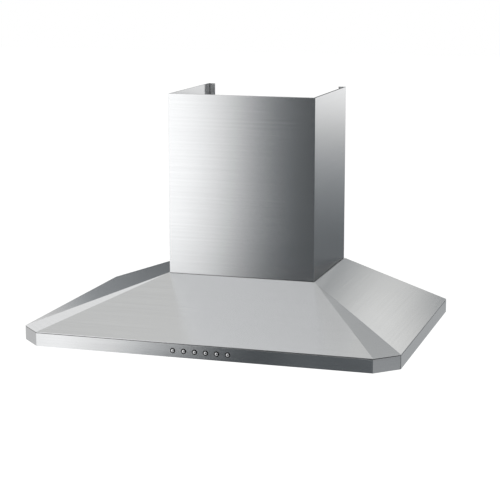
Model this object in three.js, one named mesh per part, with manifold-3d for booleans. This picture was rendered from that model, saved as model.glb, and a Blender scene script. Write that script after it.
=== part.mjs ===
// Wall-mounted chimney range hood, 700 mm wide, in millimetres.
// Frame: +X to the right, y = 0 on the wall with the front towards -Y, z = 0 at the bottom of the lip.
import * as THREE from 'three';
import { mergeVertices } from 'three/addons/utils/BufferGeometryUtils.js';
import { ConvexGeometry } from 'three/addons/geometries/ConvexGeometry.js';
import Module from 'manifold-3d';

// ---------------------------------------------------------------- driving dimensions

// Canopy
const HOOD_WIDTH = 700;
const HOOD_DEPTH = 480;
const CORNER_CUT = 40;
const LIP_HEIGHT = 26;
const CANOPY_HEIGHT = 96;
const SHEET = 1;
const SLOPE_SHEET_DROP = 1.06;
const SLOPE_EDGE_BAND = 1;
const SHELF_SIDE_MARGIN = 3;
const SHELF_FRONT_MARGIN = 1.5;
const SHELF_HOLE_HALF_WIDTH = 118;
const SHELF_FRONT_STRIP = 16;
const SHELF_REAR_STRIP = 8;

// Lip: trim strips clipped over the canopy's own skirt
const TRIM_SHEET = 1.2;
const TRIM_RETURN = 20;
const TRIM_HEM = 3;
const TRIM_SEAM = 1.2;
const SKIRT_CLEARANCE = 0.3;
const SKIRT_LEDGE = 14;

// Underside
const PANEL_HEIGHT = 10;
const PANEL_SHEET = 1.2;
const PANEL_EDGE_RISE = 7;
const PANEL_SCREW_FRONT_MARGIN = 80;
const PANEL_SCREW_REAR_MARGIN = 60;
const FILTER_SIDE_MARGIN = 52;
const FILTER_MIDDLE_MARGIN = 16;
const FILTER_FRONT_MARGIN = 130;
const FILTER_REAR_MARGIN = 42;
const FILTER_THICKNESS = 9;
const FILTER_CLEARANCE = 1.5;
const FILTER_BOTTOM_Z = 9;
const FILTER_CORNER_R = 2;
const FILTER_RIM = 12;
const FILTER_SHEET = 1;
const FILTER_TAB_WIDTH = 30;
const FILTER_TAB_REACH = 9;
const MESH_CLEARANCE = 0.4;
const MESH_COLUMNS = 6;
const MESH_ROWS = 6;
const MESH_STRAND = 2.4;
const STIFFENER_HEIGHT = 5;

// Filter latch
const LATCH_SEAT_WIDTH = 62;
const LATCH_SEAT_DEPTH = 34;
const LATCH_SEAT_WALL = 1.6;
const LATCH_BOLT_WIDTH = 24;
const LATCH_BOLT_THICKNESS = 2.2;
const LATCH_BOLT_REACH = 6;
const LATCH_TRAVEL = 7;
const LATCH_CLEARANCE = 0.4;
const LATCH_GRIP_DROP = 2.5;
const LATCH_GRIP_WIDTH = 46.4;

// Lamps
const LAMP_SIDE_MARGIN = 145;
const LAMP_FRONT_MARGIN = 68;
const LAMP_BEZEL_R = 33;
const LAMP_BEZEL_DROP = 2;
const LAMP_BEZEL_RISE = 4;
const LAMP_BEZEL_COVER = 2;
const LAMP_HOLE_R = 28;
const LAMP_LENS_R = 24;
const LAMP_LENS_THICKNESS = 3;
const LAMP_CAN_HEIGHT = 20;
const LAMP_CAN_NECK_R = 15;
const LAMP_CAN_WALL = 2.5;

// Control box behind the fascia
const CONTROL_BOX_WIDTH = 192;
const CONTROL_BOX_DEPTH = 72;
const CONTROL_BOX_HEIGHT = 14;
const CONTROL_BOX_FRONT_MARGIN = 30;
const CONTROL_BOX_CORNER_R = 3;
const CONTROL_LID_THICKNESS = 2;
const CONTROL_LID_OVERHANG = 1;
const SOCKET_COUNT = 4;
const SOCKET_PITCH = 40;
const SOCKET_WIDTH = 14;
const SOCKET_HEIGHT = 7;
const SOCKET_DEPTH = 2;
const LID_GROOVE_COUNT = 7;
const LID_GROOVE_PITCH = 24;
const LID_GROOVE_WIDTH = 8;
const LID_GROOVE_MARGIN = 11;
const LID_GROOVE_DEPTH = 1;

// Buttons
const BUTTON_COUNT = 6;
const BUTTON_PITCH = 20.25;
const BUTTON_ROW_X = 2;
const BUTTON_Z = 12;
const BUTTON_R = 2.9;
const BUTTON_PROUD = 1.7;
const BUTTON_DOME = 0.7;
const BUTTON_STEM = 3.6;
const BUTTON_TRAVEL = 2;
const BUTTON_CLEARANCE = 0.4;
const BUTTON_RING_R = 4.7;
const BUTTON_RING_WALL = 0.6;
const BUTTON_RING_PROUD = 0.9;
const BUTTON_RING_CHAMFER = 0.3;
const SWITCH_BLOCK_DEPTH = 15.6;
const SWITCH_BLOCK_HEIGHT = 15.4;
const SWITCH_BLOCK_END = 9;
const SWITCH_EAR = 10;
const SWITCH_EAR_THICKNESS = 2.4;
const SWITCH_EAR_DEPTH = 12;
const SWITCH_CORNER_R = 1.2;
const SWITCH_WELL_SPARE = 1;

// Chimney covers
const CHIMNEY_WIDTH = 284;
const CHIMNEY_DEPTH = 236.5;
const CHIMNEY_TOP = 438;
const CHIMNEY_RETURN = 12;
const COVER_GAP = 1.5;
const COVER_TAB_WIDTH = 20;
const COVER_TAB_DROP = 10;
const COVER_TAB_YS = [-190, -50];
const SLOT_CLEARANCE = 0.3;
const VENT_COUNT = 6;
const VENT_LENGTH = 70;
const VENT_HEIGHT = 4;
const VENT_PITCH = 13;
const VENT_TOP_MARGIN = 34;

// Wall side
const BACK_SHEET = 1.2;
const TOWER_HALF_WIDTH = 108;
const TOWER_TOP = 362;
const TOWER_FLANGE = 11;
const KEYHOLE_X = 84;
const KEYHOLE_Z = 338;
const KEYHOLE_R = 6;
const KEYHOLE_SLOT_R = 3;
const KEYHOLE_SLOT_RISE = 13.2;
const LOWER_HOLE_X = 252;
const BRACKET_HEIGHT = 25;
const BRACKET_SHEET = 1.5;
const BRACKET_TOP_MARGIN = 26;
const BRACKET_EAR = 26;
const BRACKET_SCREW_INSET = 15.6;
const BRACKET_HOLE_X = 70;

// Blower
const FAN_AXIS_Y = -121;
const FAN_AXIS_Z = 155;
const FAN_R = 76;
const FAN_EYE_R = 62;
const FAN_SIDE_CLEARANCE = 9;
const FAN_BLADES = 28;
const FAN_BLADE_SHEET = 1.4;
const FAN_BLADE_LEAN = 11;
const FAN_BLADE_STEPS = 2;
const FAN_BLADE_INSET = 0.5;
const FAN_RING = 2;
const FAN_HUB_R = 14;
const FAN_HUB_HALF = 12;
const FAN_HUB_FLARE = 2;
const SHAFT_R = 4;
const SHAFT_FIT = 0.1;
const SHAFT_CHAMFER = 0.6;
const SHAFT_END_SPARE = 4;
const SHAFT_IN_MOTOR = 12;
const SHAFT_BORE_SPARE = 2;
const VOLUTE_START_R = 84;
const VOLUTE_END_R = 112;
const VOLUTE_START_DEG = 75;
const VOLUTE_STEPS = 20;
const HOUSING_HALF_WIDTH = 95;
const HOUSING_WALL = 2;
const HOUSING_TOP = 116;
const HOUSING_FLANGE = 4;
const INLET_R = 60;
const INLET_LIP = 5;
const INLET_LIP_FOOT = 9;
const INLET_LIP_CREST = 3;
const ARM_WIDTH = 24;
const ARM_THICKNESS = 3;
const ARM_Y = 62;
const ARM_CHIMNEY_CLEARANCE = 6;
const ARM_SCREW_INSET = 9;
const GUSSET_RISE = 24;
const MOTOR_R = 40;
const MOTOR_LENGTH = 70;
const MOTOR_BORE_R = 4.6;
const MOTOR_BELL = 6;
const MOTOR_BEARING_R = 11;
const MOTOR_BOSS_HEIGHT = 6;
const MOTOR_STUD_LENGTH = 9;
const MOTOR_BRACKET_SHEET = 1.5;
const MOTOR_BRACKET_ARM_R = 73;
const MOTOR_BRACKET_ARM_WIDTH = 14;
const MOTOR_BRACKET_ARM_END = 6;
const MOTOR_BRACKET_ARM_CORNER = 3;
const MOTOR_BRACKET_RIM = 8;
const MOTOR_BRACKET_EYE_R = 12;
const MOTOR_ARM_DEGREES = [30, 150, 270];
const MOTOR_BOSS_R = 5;
const MOTOR_STUD_R = 4.5;
const MOTOR_STUD_PITCH_R = 24;
const CAPACITOR_R = 14;
const CAPACITOR_Y = 82;
const CAPACITOR_BOTTOM = 38;
const CAPACITOR_TOP = 92;
const CAPACITOR_CHAMFER = 1.5;
const CAPACITOR_STUD_R = 4;
const CAPACITOR_STUD_HEIGHT = 5;
const SADDLE_HEIGHT = 8;
const SADDLE_WALL = 2;

// Outlet
const OUTLET_R = 59.7;
const OUTLET_WALL = 2;
const OUTLET_HEIGHT = 52;
const OUTLET_PLATE = 2;
const OUTLET_PLATE_OVERHANG = 3;
const OUTLET_GROOVE_DEPTH = 1.2;
const OUTLET_GROOVE_WIDTH = 4;
const OUTLET_GROOVE_DROP = 6;
const OUTLET_BAR_WIDTH = 3;
const OUTLET_BAR_DEPTH = 5;
const FLAP_AXIS_RISE = 24;
const FLAP_AXIS_X = 4;
const FLAP_THICKNESS = 1.6;
const FLAP_CLEARANCE = 1;
const FLAP_PIN_R = 1.5;
const FLAP_BARREL_R = 1.9;
const FLAP_LEDGE = 3;
const FLAP_RIB_WIDTH = 2;
const FLAP_RIB_HEIGHT = 1.6;
const FLAP_RIB_REACH = 0.72;

// Terminal box
const TERMINAL_LEFT = -103.2;
const TERMINAL_RIGHT = -62;
const TERMINAL_BOTTOM = 284;
const TERMINAL_TOP = 326;
const TERMINAL_DEPTH = 26;
const TERMINAL_CORNER_R = 2;
const TERMINAL_RECESS_MARGIN = 8;
const TERMINAL_RECESS_DEPTH = 1;
const GLAND_BORE_R = 3.6;
const GLAND_COLLAR_R = 8;
const GLAND_NUT_R = 9.5;
const GLAND_TIP_R = 6.5;
const GLAND_HEIGHTS = [4, 10, 14];

// Screws
const SCREW_R = 2;
const SCREW_HEAD_R = 4;
const SCREW_HEAD_HEIGHT = 2.4;
const SCREW_FIT = 0.4;
const SCREW_CROWN_SHARE = 0.7;
const SCREW_TIP = 4;
const FLAT_HEAD_HEIGHT = 1;

// Round faces
const LARGE_SIDES = 24;
const MEDIUM_SIDES = 16;
const SMALL_SIDES = 10;
const SHAFT_SIDES = 20;
const NUT_SIDES = 12;
const SCREW_SIDES = 8;

// Clearances used by several pieces
const TOUCH_GAP = 0.3;
const CUT_MARGIN = 5;
const JOIN_OVERLAP = 1;

// Places along the fan's axis
const FAN_HALF_WIDTH = HOUSING_HALF_WIDTH - HOUSING_WALL - FAN_SIDE_CLEARANCE;
const ARM_REACH = CHIMNEY_WIDTH / 2 - ARM_CHIMNEY_CLEARANCE;
const ARM_SCREW_X = ARM_REACH - ARM_SCREW_INSET;
const MOTOR_BRACKET_X = HOUSING_HALF_WIDTH + MOTOR_BOSS_HEIGHT;
const MOTOR_OUTER_X = MOTOR_BRACKET_X - MOTOR_STUD_LENGTH;
const MOTOR_INNER_X = MOTOR_OUTER_X - MOTOR_LENGTH;

// ---------------------------------------------------------------- solids

const wasm = await Module();
wasm.setup();

// A closed manifold solid from a geometry: vertices shared, no empty faces, faces pointing out.
function solidFrom(geometry) {
  const bare = geometry.clone();
  bare.deleteAttribute('normal');
  bare.deleteAttribute('uv');
  const merged = mergeVertices(bare, 1e-4);
  const place = merged.attributes.position.array;
  const triangles = [];
  let volume = 0;
  const a = new THREE.Vector3();
  const b = new THREE.Vector3();
  const c = new THREE.Vector3();
  for (let i = 0; i < merged.index.count; i += 3) {
    const [p, q, r] = [0, 1, 2].map((k) => merged.index.getX(i + k));
    if (p === q || q === r || r === p) continue;
    triangles.push([p, q, r]);
    a.fromArray(place, 3 * p);
    b.fromArray(place, 3 * q);
    c.fromArray(place, 3 * r);
    volume += a.dot(b.cross(c));
  }
  const ordered = volume < 0 ? triangles.map(([p, q, r]) => [p, r, q]) : triangles;
  return new wasm.Manifold(new wasm.Mesh({
    numProp: 3,
    vertProperties: new Float32Array(place),
    triVerts: new Uint32Array(ordered.flat()),
  }));
}

function geometryFrom(solid) {
  const mesh = solid.getMesh();
  const geometry = new THREE.BufferGeometry();
  const places = new THREE.BufferAttribute(new Float32Array(mesh.vertProperties), 3);
  geometry.setAttribute('position', places);
  geometry.setIndex(new THREE.BufferAttribute(new Uint32Array(mesh.triVerts), 1));
  return geometry;
}

function union(solids) {
  return solids.reduce((sum, next) => sum.add(next));
}

function block(x0, x1, y0, y1, z0, z1) {
  const geometry = new THREE.BoxGeometry(x1 - x0, y1 - y0, z1 - z0);
  geometry.translate((x0 + x1) / 2, (y0 + y1) / 2, (z0 + z1) / 2);
  return solidFrom(geometry);
}

// Local axes of an extruded outline: its two plane directions, then its extrusion direction.
const PLANES = {
  xy: new THREE.Matrix4(),
  yz: new THREE.Matrix4().makeBasis(
    new THREE.Vector3(0, 1, 0), new THREE.Vector3(0, 0, 1), new THREE.Vector3(1, 0, 0)),
  xz: new THREE.Matrix4().makeBasis(
    new THREE.Vector3(1, 0, 0), new THREE.Vector3(0, 0, 1), new THREE.Vector3(0, -1, 0)),
};

function extruded(shape, plane, from, to, curveSegments = 6) {
  const depth = Math.abs(to - from);
  const geometry = new THREE.ExtrudeGeometry(shape, { depth, bevelEnabled: false, curveSegments });
  const start = plane === 'xz' ? -Math.max(from, to) : Math.min(from, to);
  geometry.translate(0, 0, start);
  geometry.applyMatrix4(PLANES[plane]);
  return solidFrom(geometry);
}

function outline(points) {
  return new THREE.Shape(points.map(([u, v]) => new THREE.Vector2(u, v)));
}

function roundedRectangle(u0, u1, v0, v1, radius) {
  const shape = new THREE.Shape();
  shape.moveTo(u0 + radius, v0);
  shape.lineTo(u1 - radius, v0);
  shape.absarc(u1 - radius, v0 + radius, radius, -Math.PI / 2, 0);
  shape.lineTo(u1, v1 - radius);
  shape.absarc(u1 - radius, v1 - radius, radius, 0, Math.PI / 2);
  shape.lineTo(u0 + radius, v1);
  shape.absarc(u0 + radius, v1 - radius, radius, Math.PI / 2, Math.PI);
  shape.lineTo(u0, v0 + radius);
  shape.absarc(u0 + radius, v0 + radius, radius, Math.PI, 1.5 * Math.PI);
  return shape;
}

// A turned solid: profile points are [radius, distance along the axis].
function turned(profile, axis, sides) {
  const points = profile.map(([r, along]) => new THREE.Vector2(r, along));
  const geometry = new THREE.LatheGeometry(points, sides);
  if (axis === 'z') geometry.rotateX(Math.PI / 2);
  if (axis === 'x') geometry.rotateZ(-Math.PI / 2);
  return solidFrom(geometry);
}

function tube(outerR, innerR, from, to, axis, sides) {
  const profile = [[innerR, from], [outerR, from], [outerR, to], [innerR, to], [innerR, from]];
  return turned(profile, axis, sides);
}

function rod(radius, from, to, axis, sides) {
  return turned([[0, from], [radius, from], [radius, to], [0, to]], axis, sides);
}

function moved(solid, x, y, z) {
  const geometry = geometryFrom(solid);
  geometry.translate(x, y, z);
  return solidFrom(geometry);
}

function turnedAbout(solid, axis, degrees) {
  const geometry = geometryFrom(solid);
  const angle = THREE.MathUtils.degToRad(degrees);
  if (axis === 'x') geometry.rotateX(angle);
  if (axis === 'y') geometry.rotateY(angle);
  if (axis === 'z') geometry.rotateZ(angle);
  return solidFrom(geometry);
}

function mirroredX(solid) {
  const geometry = geometryFrom(solid);
  geometry.scale(-1, 1, 1);
  return solidFrom(geometry);
}

// ---------------------------------------------------------------- materials

const finish = (color, roughness, metalness) => ({ color, roughness, metalness });
const STEEL = finish(0xb9b9b7, 0.34, 0.9);
const CHIMNEY_STEEL = finish(0xa9aaab, 0.3, 0.95);
const GALVANISED = finish(0x9a9fa3, 0.5, 0.8);
const ALUMINIUM = finish(0xc4c6c8, 0.42, 0.85);
const CHROME = finish(0xe4e6e8, 0.12, 1);
const BLACK_PLASTIC = finish(0x17181a, 0.45, 0);
const GREY_PLASTIC = finish(0x8b8e90, 0.55, 0);
const WHITE_PLASTIC = finish(0xd9d9d4, 0.5, 0);
const GLASS = finish(0xeaf0ee, 0.25, 0);
const MOTOR_STEEL = finish(0x5a5e63, 0.45, 0.7);
const ZINC = finish(0xb4b8bc, 0.35, 0.9);

const hood = new THREE.Group();
hood.name = 'range_hood';

function place(name, solid, look, parent = hood, position = [0, 0, 0]) {
  const mesh = new THREE.Mesh(geometryFrom(solid), new THREE.MeshStandardMaterial(look));
  mesh.name = name;
  mesh.position.set(...position);
  parent.add(mesh);
  return mesh;
}

// ---------------------------------------------------------------- canopy

const SKIRT_OUTER = TRIM_SHEET + SKIRT_CLEARANCE;
const SKIRT_INNER = SKIRT_OUTER + SHEET;
const SKIRT_BOTTOM = PANEL_HEIGHT - SHEET;
const BEVEL = Math.SQRT2 - 1;
const BEHIND_WALL = CUT_MARGIN;
const SHELF_WIDTH = CHIMNEY_WIDTH + 2 * SHELF_SIDE_MARGIN;
const SHELF_DEPTH = CHIMNEY_DEPTH + SHELF_FRONT_MARGIN;

// The hood's plan view, pulled in by an even margin on its front and sides.
function plan(inset, rearY = 0) {
  const halfWidth = HOOD_WIDTH / 2 - inset;
  const depth = HOOD_DEPTH - inset;
  const cornerX = HOOD_WIDTH / 2 - CORNER_CUT - BEVEL * inset;
  const cornerY = HOOD_DEPTH - CORNER_CUT - BEVEL * inset;
  return [
    [-halfWidth, rearY], [-halfWidth, -cornerY], [-cornerX, -depth],
    [cornerX, -depth], [halfWidth, -cornerY], [halfWidth, rearY],
  ];
}

function planPrism(inset, z0, z1, rearY = 0) {
  return extruded(outline(plan(inset, rearY)), 'xy', z0, z1);
}

// A strip that follows the plan's front and sides, open at the wall.
function planBand(outerInset, innerInset, z0, z1) {
  const outer = planPrism(outerInset, z0, z1);
  return outer.subtract(planPrism(innerInset, z0 - CUT_MARGIN, z1 + CUT_MARGIN, BEHIND_WALL));
}

// The faceted body between the lip and the shelf, lowered by `drop`.
function canopyBody(drop, bottom) {
  const halfShelf = SHELF_WIDTH / 2;
  const points = [];
  for (const [x, y] of plan(0)) {
    points.push(new THREE.Vector3(x, y, bottom), new THREE.Vector3(x, y, LIP_HEIGHT - drop));
  }
  for (const x of [-halfShelf, halfShelf]) {
    for (const y of [-SHELF_DEPTH, 0]) {
      points.push(new THREE.Vector3(x, y, CANOPY_HEIGHT - drop));
    }
  }
  return solidFrom(new ConvexGeometry(points));
}

// Inner height of the canopy's side slope at a distance from the centre.
function slopeHeightAt(x) {
  const run = (HOOD_WIDTH - SHELF_WIDTH) / 2;
  const rise = CANOPY_HEIGHT - LIP_HEIGHT;
  return LIP_HEIGHT - SLOPE_SHEET_DROP + rise * (HOOD_WIDTH / 2 - Math.abs(x)) / run;
}

function armScrewPlaces() {
  const places = [];
  for (const side of [-1, 1]) {
    for (const along of [-ARM_Y, ARM_Y]) {
      places.push([side * ARM_SCREW_X, FAN_AXIS_Y + along]);
    }
  }
  return places;
}

function panelScrewPlaces() {
  const x = HOOD_WIDTH / 2 - SKIRT_INNER - SKIRT_LEDGE / 2;
  const frontY = -HOOD_DEPTH + PANEL_SCREW_FRONT_MARGIN;
  const rearY = -PANEL_SCREW_REAR_MARGIN;
  return [[-x, frontY], [x, frontY], [-x, rearY], [x, rearY]];
}

function buttonXs() {
  const first = BUTTON_ROW_X - BUTTON_PITCH * (BUTTON_COUNT - 1) / 2;
  return Array.from({ length: BUTTON_COUNT }, (_, i) => first + i * BUTTON_PITCH);
}

const SWITCH_HALF = BUTTON_PITCH * (BUTTON_COUNT - 1) / 2 + SWITCH_BLOCK_END;
const SWITCH_BAY_HALF = SWITCH_HALF + SLOT_CLEARANCE;
const SWITCH_EAR_HALF = SWITCH_HALF + SWITCH_EAR;
const SWITCH_FRONT_Y = -(HOOD_DEPTH - SKIRT_INNER) + TOUCH_GAP;
const BUTTON_HOLE_R = BUTTON_R + BUTTON_CLEARANCE + BUTTON_RING_WALL + TOUCH_GAP;

function buttonHoles(radius) {
  const depth = SKIRT_INNER + CUT_MARGIN;
  const y = -HOOD_DEPTH + SKIRT_INNER;
  return union(buttonXs().map((x) => {
    const hole = rod(radius, -depth, CUT_MARGIN, 'y', SMALL_SIDES);
    return moved(hole, x, y, BUTTON_Z);
  }));
}

function coverTabSlots() {
  const outer = CHIMNEY_WIDTH / 2 + SLOT_CLEARANCE;
  const inner = CHIMNEY_WIDTH / 2 - SHEET - SLOT_CLEARANCE;
  const half = COVER_TAB_WIDTH / 2 + SLOT_CLEARANCE;
  const z0 = CANOPY_HEIGHT - CUT_MARGIN;
  const z1 = CANOPY_HEIGHT + CUT_MARGIN;
  const slots = [];
  for (const y of COVER_TAB_YS) {
    slots.push(block(inner, outer, y - half, y + half, z0, z1));
    slots.push(block(-outer, -inner, y - half, y + half, z0, z1));
  }
  return union(slots);
}

function canopyShell() {
  const skirtTop = LIP_HEIGHT - SLOPE_EDGE_BAND;
  const cavity = canopyBody(SLOPE_SHEET_DROP, SKIRT_BOTTOM - CUT_MARGIN)
    .intersect(planPrism(SKIRT_INNER, SKIRT_BOTTOM - CUT_MARGIN, CANOPY_HEIGHT));
  const rearOpening = block(
    -TOWER_HALF_WIDTH - TOUCH_GAP, TOWER_HALF_WIDTH + TOUCH_GAP,
    -SHELF_REAR_STRIP - CUT_MARGIN, CUT_MARGIN,
    CANOPY_HEIGHT - CUT_MARGIN, CANOPY_HEIGHT + CUT_MARGIN);
  const shelfHole = block(
    -SHELF_HOLE_HALF_WIDTH, SHELF_HOLE_HALF_WIDTH,
    -SHELF_DEPTH + SHELF_FRONT_STRIP, -SHELF_REAR_STRIP,
    CANOPY_HEIGHT - CUT_MARGIN, CANOPY_HEIGHT + CUT_MARGIN);
  const backPlateRoom = block(
    -HOOD_WIDTH / 2 + SKIRT_INNER, HOOD_WIDTH / 2 - SKIRT_INNER, -BACK_SHEET - TOUCH_GAP, CUT_MARGIN,
    SKIRT_BOTTOM - CUT_MARGIN, PANEL_HEIGHT + CUT_MARGIN);
  const ledge = planBand(SKIRT_OUTER, SKIRT_INNER + SKIRT_LEDGE, SKIRT_BOTTOM, PANEL_HEIGHT)
    .subtract(backPlateRoom);
  const switchBay = block(
    BUTTON_ROW_X - SWITCH_BAY_HALF, BUTTON_ROW_X + SWITCH_BAY_HALF,
    -HOOD_DEPTH + SKIRT_INNER, -HOOD_DEPTH + SKIRT_INNER + SKIRT_LEDGE + CUT_MARGIN,
    SKIRT_BOTTOM - CUT_MARGIN, PANEL_HEIGHT + CUT_MARGIN);
  const shelfScrews = union(armScrewPlaces().map(([x, y]) => moved(
    rod(SCREW_R + SCREW_FIT, CANOPY_HEIGHT - CUT_MARGIN, CANOPY_HEIGHT + CUT_MARGIN, 'z', SMALL_SIDES),
    x, y, 0)));
  const ledgeScrews = union(panelScrewPlaces().map(([x, y]) => moved(
    rod(SCREW_R + SCREW_FIT, SKIRT_BOTTOM - CUT_MARGIN, PANEL_HEIGHT + CUT_MARGIN, 'z', SMALL_SIDES),
    x, y, 0)));
  return canopyBody(0, skirtTop)
    .subtract(cavity)
    .add(planBand(SKIRT_OUTER, SKIRT_INNER, SKIRT_BOTTOM, skirtTop))
    .add(ledge)
    .subtract(shelfHole)
    .subtract(rearOpening)
    .subtract(switchBay)
    .subtract(buttonHoles(BUTTON_HOLE_R))
    .subtract(coverTabSlots())
    .subtract(shelfScrews)
    .subtract(ledgeScrews);
}

// ---------------------------------------------------------------- lip trim

// Trim section: an outer wall, a return under the hood and a short upturned hem.
function trimSection() {
  const wall = planBand(0, TRIM_SHEET, 0, LIP_HEIGHT - SLOPE_EDGE_BAND - TRIM_SEAM);
  const underside = planBand(0, TRIM_RETURN, 0, TRIM_SHEET);
  const hem = planBand(TRIM_RETURN - TRIM_SHEET, TRIM_RETURN, 0, TRIM_SHEET + TRIM_HEM);
  return wall.add(underside).add(hem);
}

const TRIM_END_Y = -(HOOD_DEPTH - CORNER_CUT);

function frontFascia() {
  const far = HOOD_WIDTH;
  const front = block(-far, far, -far, TRIM_END_Y - TRIM_SEAM / 2, -CUT_MARGIN, LIP_HEIGHT);
  return trimSection().intersect(front).subtract(buttonHoles(BUTTON_HOLE_R));
}

function sideRail(side) {
  const far = HOOD_WIDTH;
  const x = [0, side * far].sort((a, b) => a - b);
  const zone = block(x[0], x[1], TRIM_END_Y + TRIM_SEAM / 2, CUT_MARGIN, -CUT_MARGIN, LIP_HEIGHT);
  const inner = HOOD_WIDTH / 2 - TRIM_SHEET;
  const rearCut = block(
    -inner, inner, -BACK_SHEET - TOUCH_GAP, CUT_MARGIN, -CUT_MARGIN, LIP_HEIGHT);
  return trimSection().intersect(zone).subtract(rearCut);
}

// ---------------------------------------------------------------- back plate

function backPlate() {
  const edge = HOOD_WIDTH / 2 - SKIRT_INNER - TOUCH_GAP;
  const shoulder = SHELF_WIDTH / 2;
  const slopeFoot = LIP_HEIGHT - SLOPE_EDGE_BAND - TOUCH_GAP;
  const shelfUnder = CANOPY_HEIGHT - SLOPE_SHEET_DROP - 2 * TOUCH_GAP;
  const half = [
    [edge, 0], [edge, slopeFoot], [shoulder, slopeHeightAt(shoulder) - 2 * TOUCH_GAP],
    [TOWER_HALF_WIDTH, shelfUnder], [TOWER_HALF_WIDTH, TOWER_TOP],
  ];
  const profile = [...half, ...half.map(([x, z]) => [-x, z]).reverse()];
  let plate = extruded(outline(profile), 'xz', -BACK_SHEET, 0);
  const flangeEdge = HOOD_WIDTH / 2 - TRIM_RETURN - TOUCH_GAP;
  plate = plate.add(block(-flangeEdge, flangeEdge, -TRIM_RETURN, 0, 0, BACK_SHEET));
  const ledgeHalf = edge - SKIRT_LEDGE;
  plate = plate.add(block(
    -ledgeHalf, ledgeHalf, -SKIRT_LEDGE, 0, PANEL_HEIGHT - BACK_SHEET, PANEL_HEIGHT));
  for (const side of [-1, 1]) {
    const x = [side * TOWER_HALF_WIDTH, side * (TOWER_HALF_WIDTH - BACK_SHEET)].sort((a, b) => a - b);
    plate = plate.add(block(x[0], x[1], -TOWER_FLANGE, 0, CANOPY_HEIGHT + CUT_MARGIN, TOWER_TOP));
    plate = plate.subtract(keyhole(side * KEYHOLE_X, KEYHOLE_Z));
    plate = plate.subtract(moved(
      rod(KEYHOLE_SLOT_R, -CUT_MARGIN, CUT_MARGIN, 'y', SMALL_SIDES), side * LOWER_HOLE_X, 0, LIP_HEIGHT));
  }
  return plate;
}

function keyhole(x, z) {
  const round = moved(rod(KEYHOLE_R, -CUT_MARGIN, CUT_MARGIN, 'y', SMALL_SIDES), x, 0, z);
  const slotTop = z + KEYHOLE_SLOT_RISE;
  const slot = block(x - KEYHOLE_SLOT_R, x + KEYHOLE_SLOT_R, -CUT_MARGIN, CUT_MARGIN, z, slotTop);
  const end = moved(rod(KEYHOLE_SLOT_R, -CUT_MARGIN, CUT_MARGIN, 'y', SMALL_SIDES), x, 0, slotTop);
  return round.add(slot).add(end);
}

// ---------------------------------------------------------------- underside panel

const FILTER_WIDTH = (HOOD_WIDTH - FILTER_MIDDLE_MARGIN) / 2 - FILTER_SIDE_MARGIN;
const FILTER_LENGTH = HOOD_DEPTH - FILTER_FRONT_MARGIN - FILTER_REAR_MARGIN;
const FILTER_CENTRE_X = (FILTER_WIDTH + FILTER_MIDDLE_MARGIN) / 2;
const FILTER_REAR_Y = -FILTER_REAR_MARGIN;
const FILTER_FRONT_Y = FILTER_REAR_Y - FILTER_LENGTH;
const PANEL_TOP = PANEL_HEIGHT + PANEL_SHEET;
const LAMP_X = HOOD_WIDTH / 2 - LAMP_SIDE_MARGIN;
const LAMP_Y = -HOOD_DEPTH + LAMP_FRONT_MARGIN;

function undersidePanel() {
  const edge = SKIRT_INNER + TOUCH_GAP;
  const rearY = -BACK_SHEET - TOUCH_GAP;
  let panel = extruded(outline(plan(edge, rearY)), 'xy', PANEL_HEIGHT, PANEL_TOP);
  const rim = planPrism(edge, PANEL_HEIGHT, PANEL_TOP + PANEL_EDGE_RISE, rearY)
    .subtract(planPrism(edge + SHEET, 0, CANOPY_HEIGHT, rearY - SHEET));
  panel = panel.add(rim);
  for (const side of [-1, 1]) {
    const x0 = side * FILTER_CENTRE_X - FILTER_WIDTH / 2 - FILTER_CLEARANCE;
    const x1 = side * FILTER_CENTRE_X + FILTER_WIDTH / 2 + FILTER_CLEARANCE;
    const y0 = FILTER_FRONT_Y - FILTER_CLEARANCE;
    const y1 = FILTER_REAR_Y + FILTER_CLEARANCE;
    for (const x of [x0, x1]) {
      const inner = x === x0 ? x - SHEET : x;
      panel = panel.add(block(inner, inner + SHEET, y0, y1, PANEL_HEIGHT, PANEL_TOP + STIFFENER_HEIGHT));
    }
    panel = panel.subtract(block(x0, x1, y0, y1, PANEL_HEIGHT - CUT_MARGIN, CANOPY_HEIGHT));
    panel = panel.subtract(moved(
      rod(LAMP_HOLE_R, PANEL_HEIGHT - CUT_MARGIN, PANEL_TOP + CUT_MARGIN, 'z', MEDIUM_SIDES),
      side * LAMP_X, LAMP_Y, 0));
  }
  const bayRear = SWITCH_FRONT_Y + SWITCH_BLOCK_DEPTH + TOUCH_GAP;
  panel = panel.subtract(block(
    BUTTON_ROW_X - SWITCH_EAR_HALF - TOUCH_GAP, BUTTON_ROW_X + SWITCH_EAR_HALF + TOUCH_GAP,
    -HOOD_DEPTH, bayRear, 0, CANOPY_HEIGHT));
  for (const [x, y] of panelScrewPlaces()) {
    const hole = rod(SCREW_R + SCREW_FIT, 0, PANEL_TOP + CUT_MARGIN, 'z', SMALL_SIDES);
    panel = panel.subtract(moved(hole, x, y, 0));
  }
  return panel;
}

// ---------------------------------------------------------------- screws

// A pan-head screw whose head sits at 0 and rises along +Z, with its shank going down.
function panScrew(shank) {
  return turned([
    [0, -shank], [SCREW_R, -shank], [SCREW_R, 0], [SCREW_HEAD_R, 0],
    [SCREW_HEAD_R * SCREW_CROWN_SHARE, SCREW_HEAD_HEIGHT], [0, SCREW_HEAD_HEIGHT],
  ], 'z', SCREW_SIDES);
}

function flatScrew(shank) {
  return turned([
    [0, -shank], [SCREW_R, -shank], [SCREW_R, 0], [SCREW_HEAD_R, 0],
    [SCREW_HEAD_R, FLAT_HEAD_HEIGHT], [0, FLAT_HEAD_HEIGHT],
  ], 'z', SCREW_SIDES);
}

// ---------------------------------------------------------------- chimney covers

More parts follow.
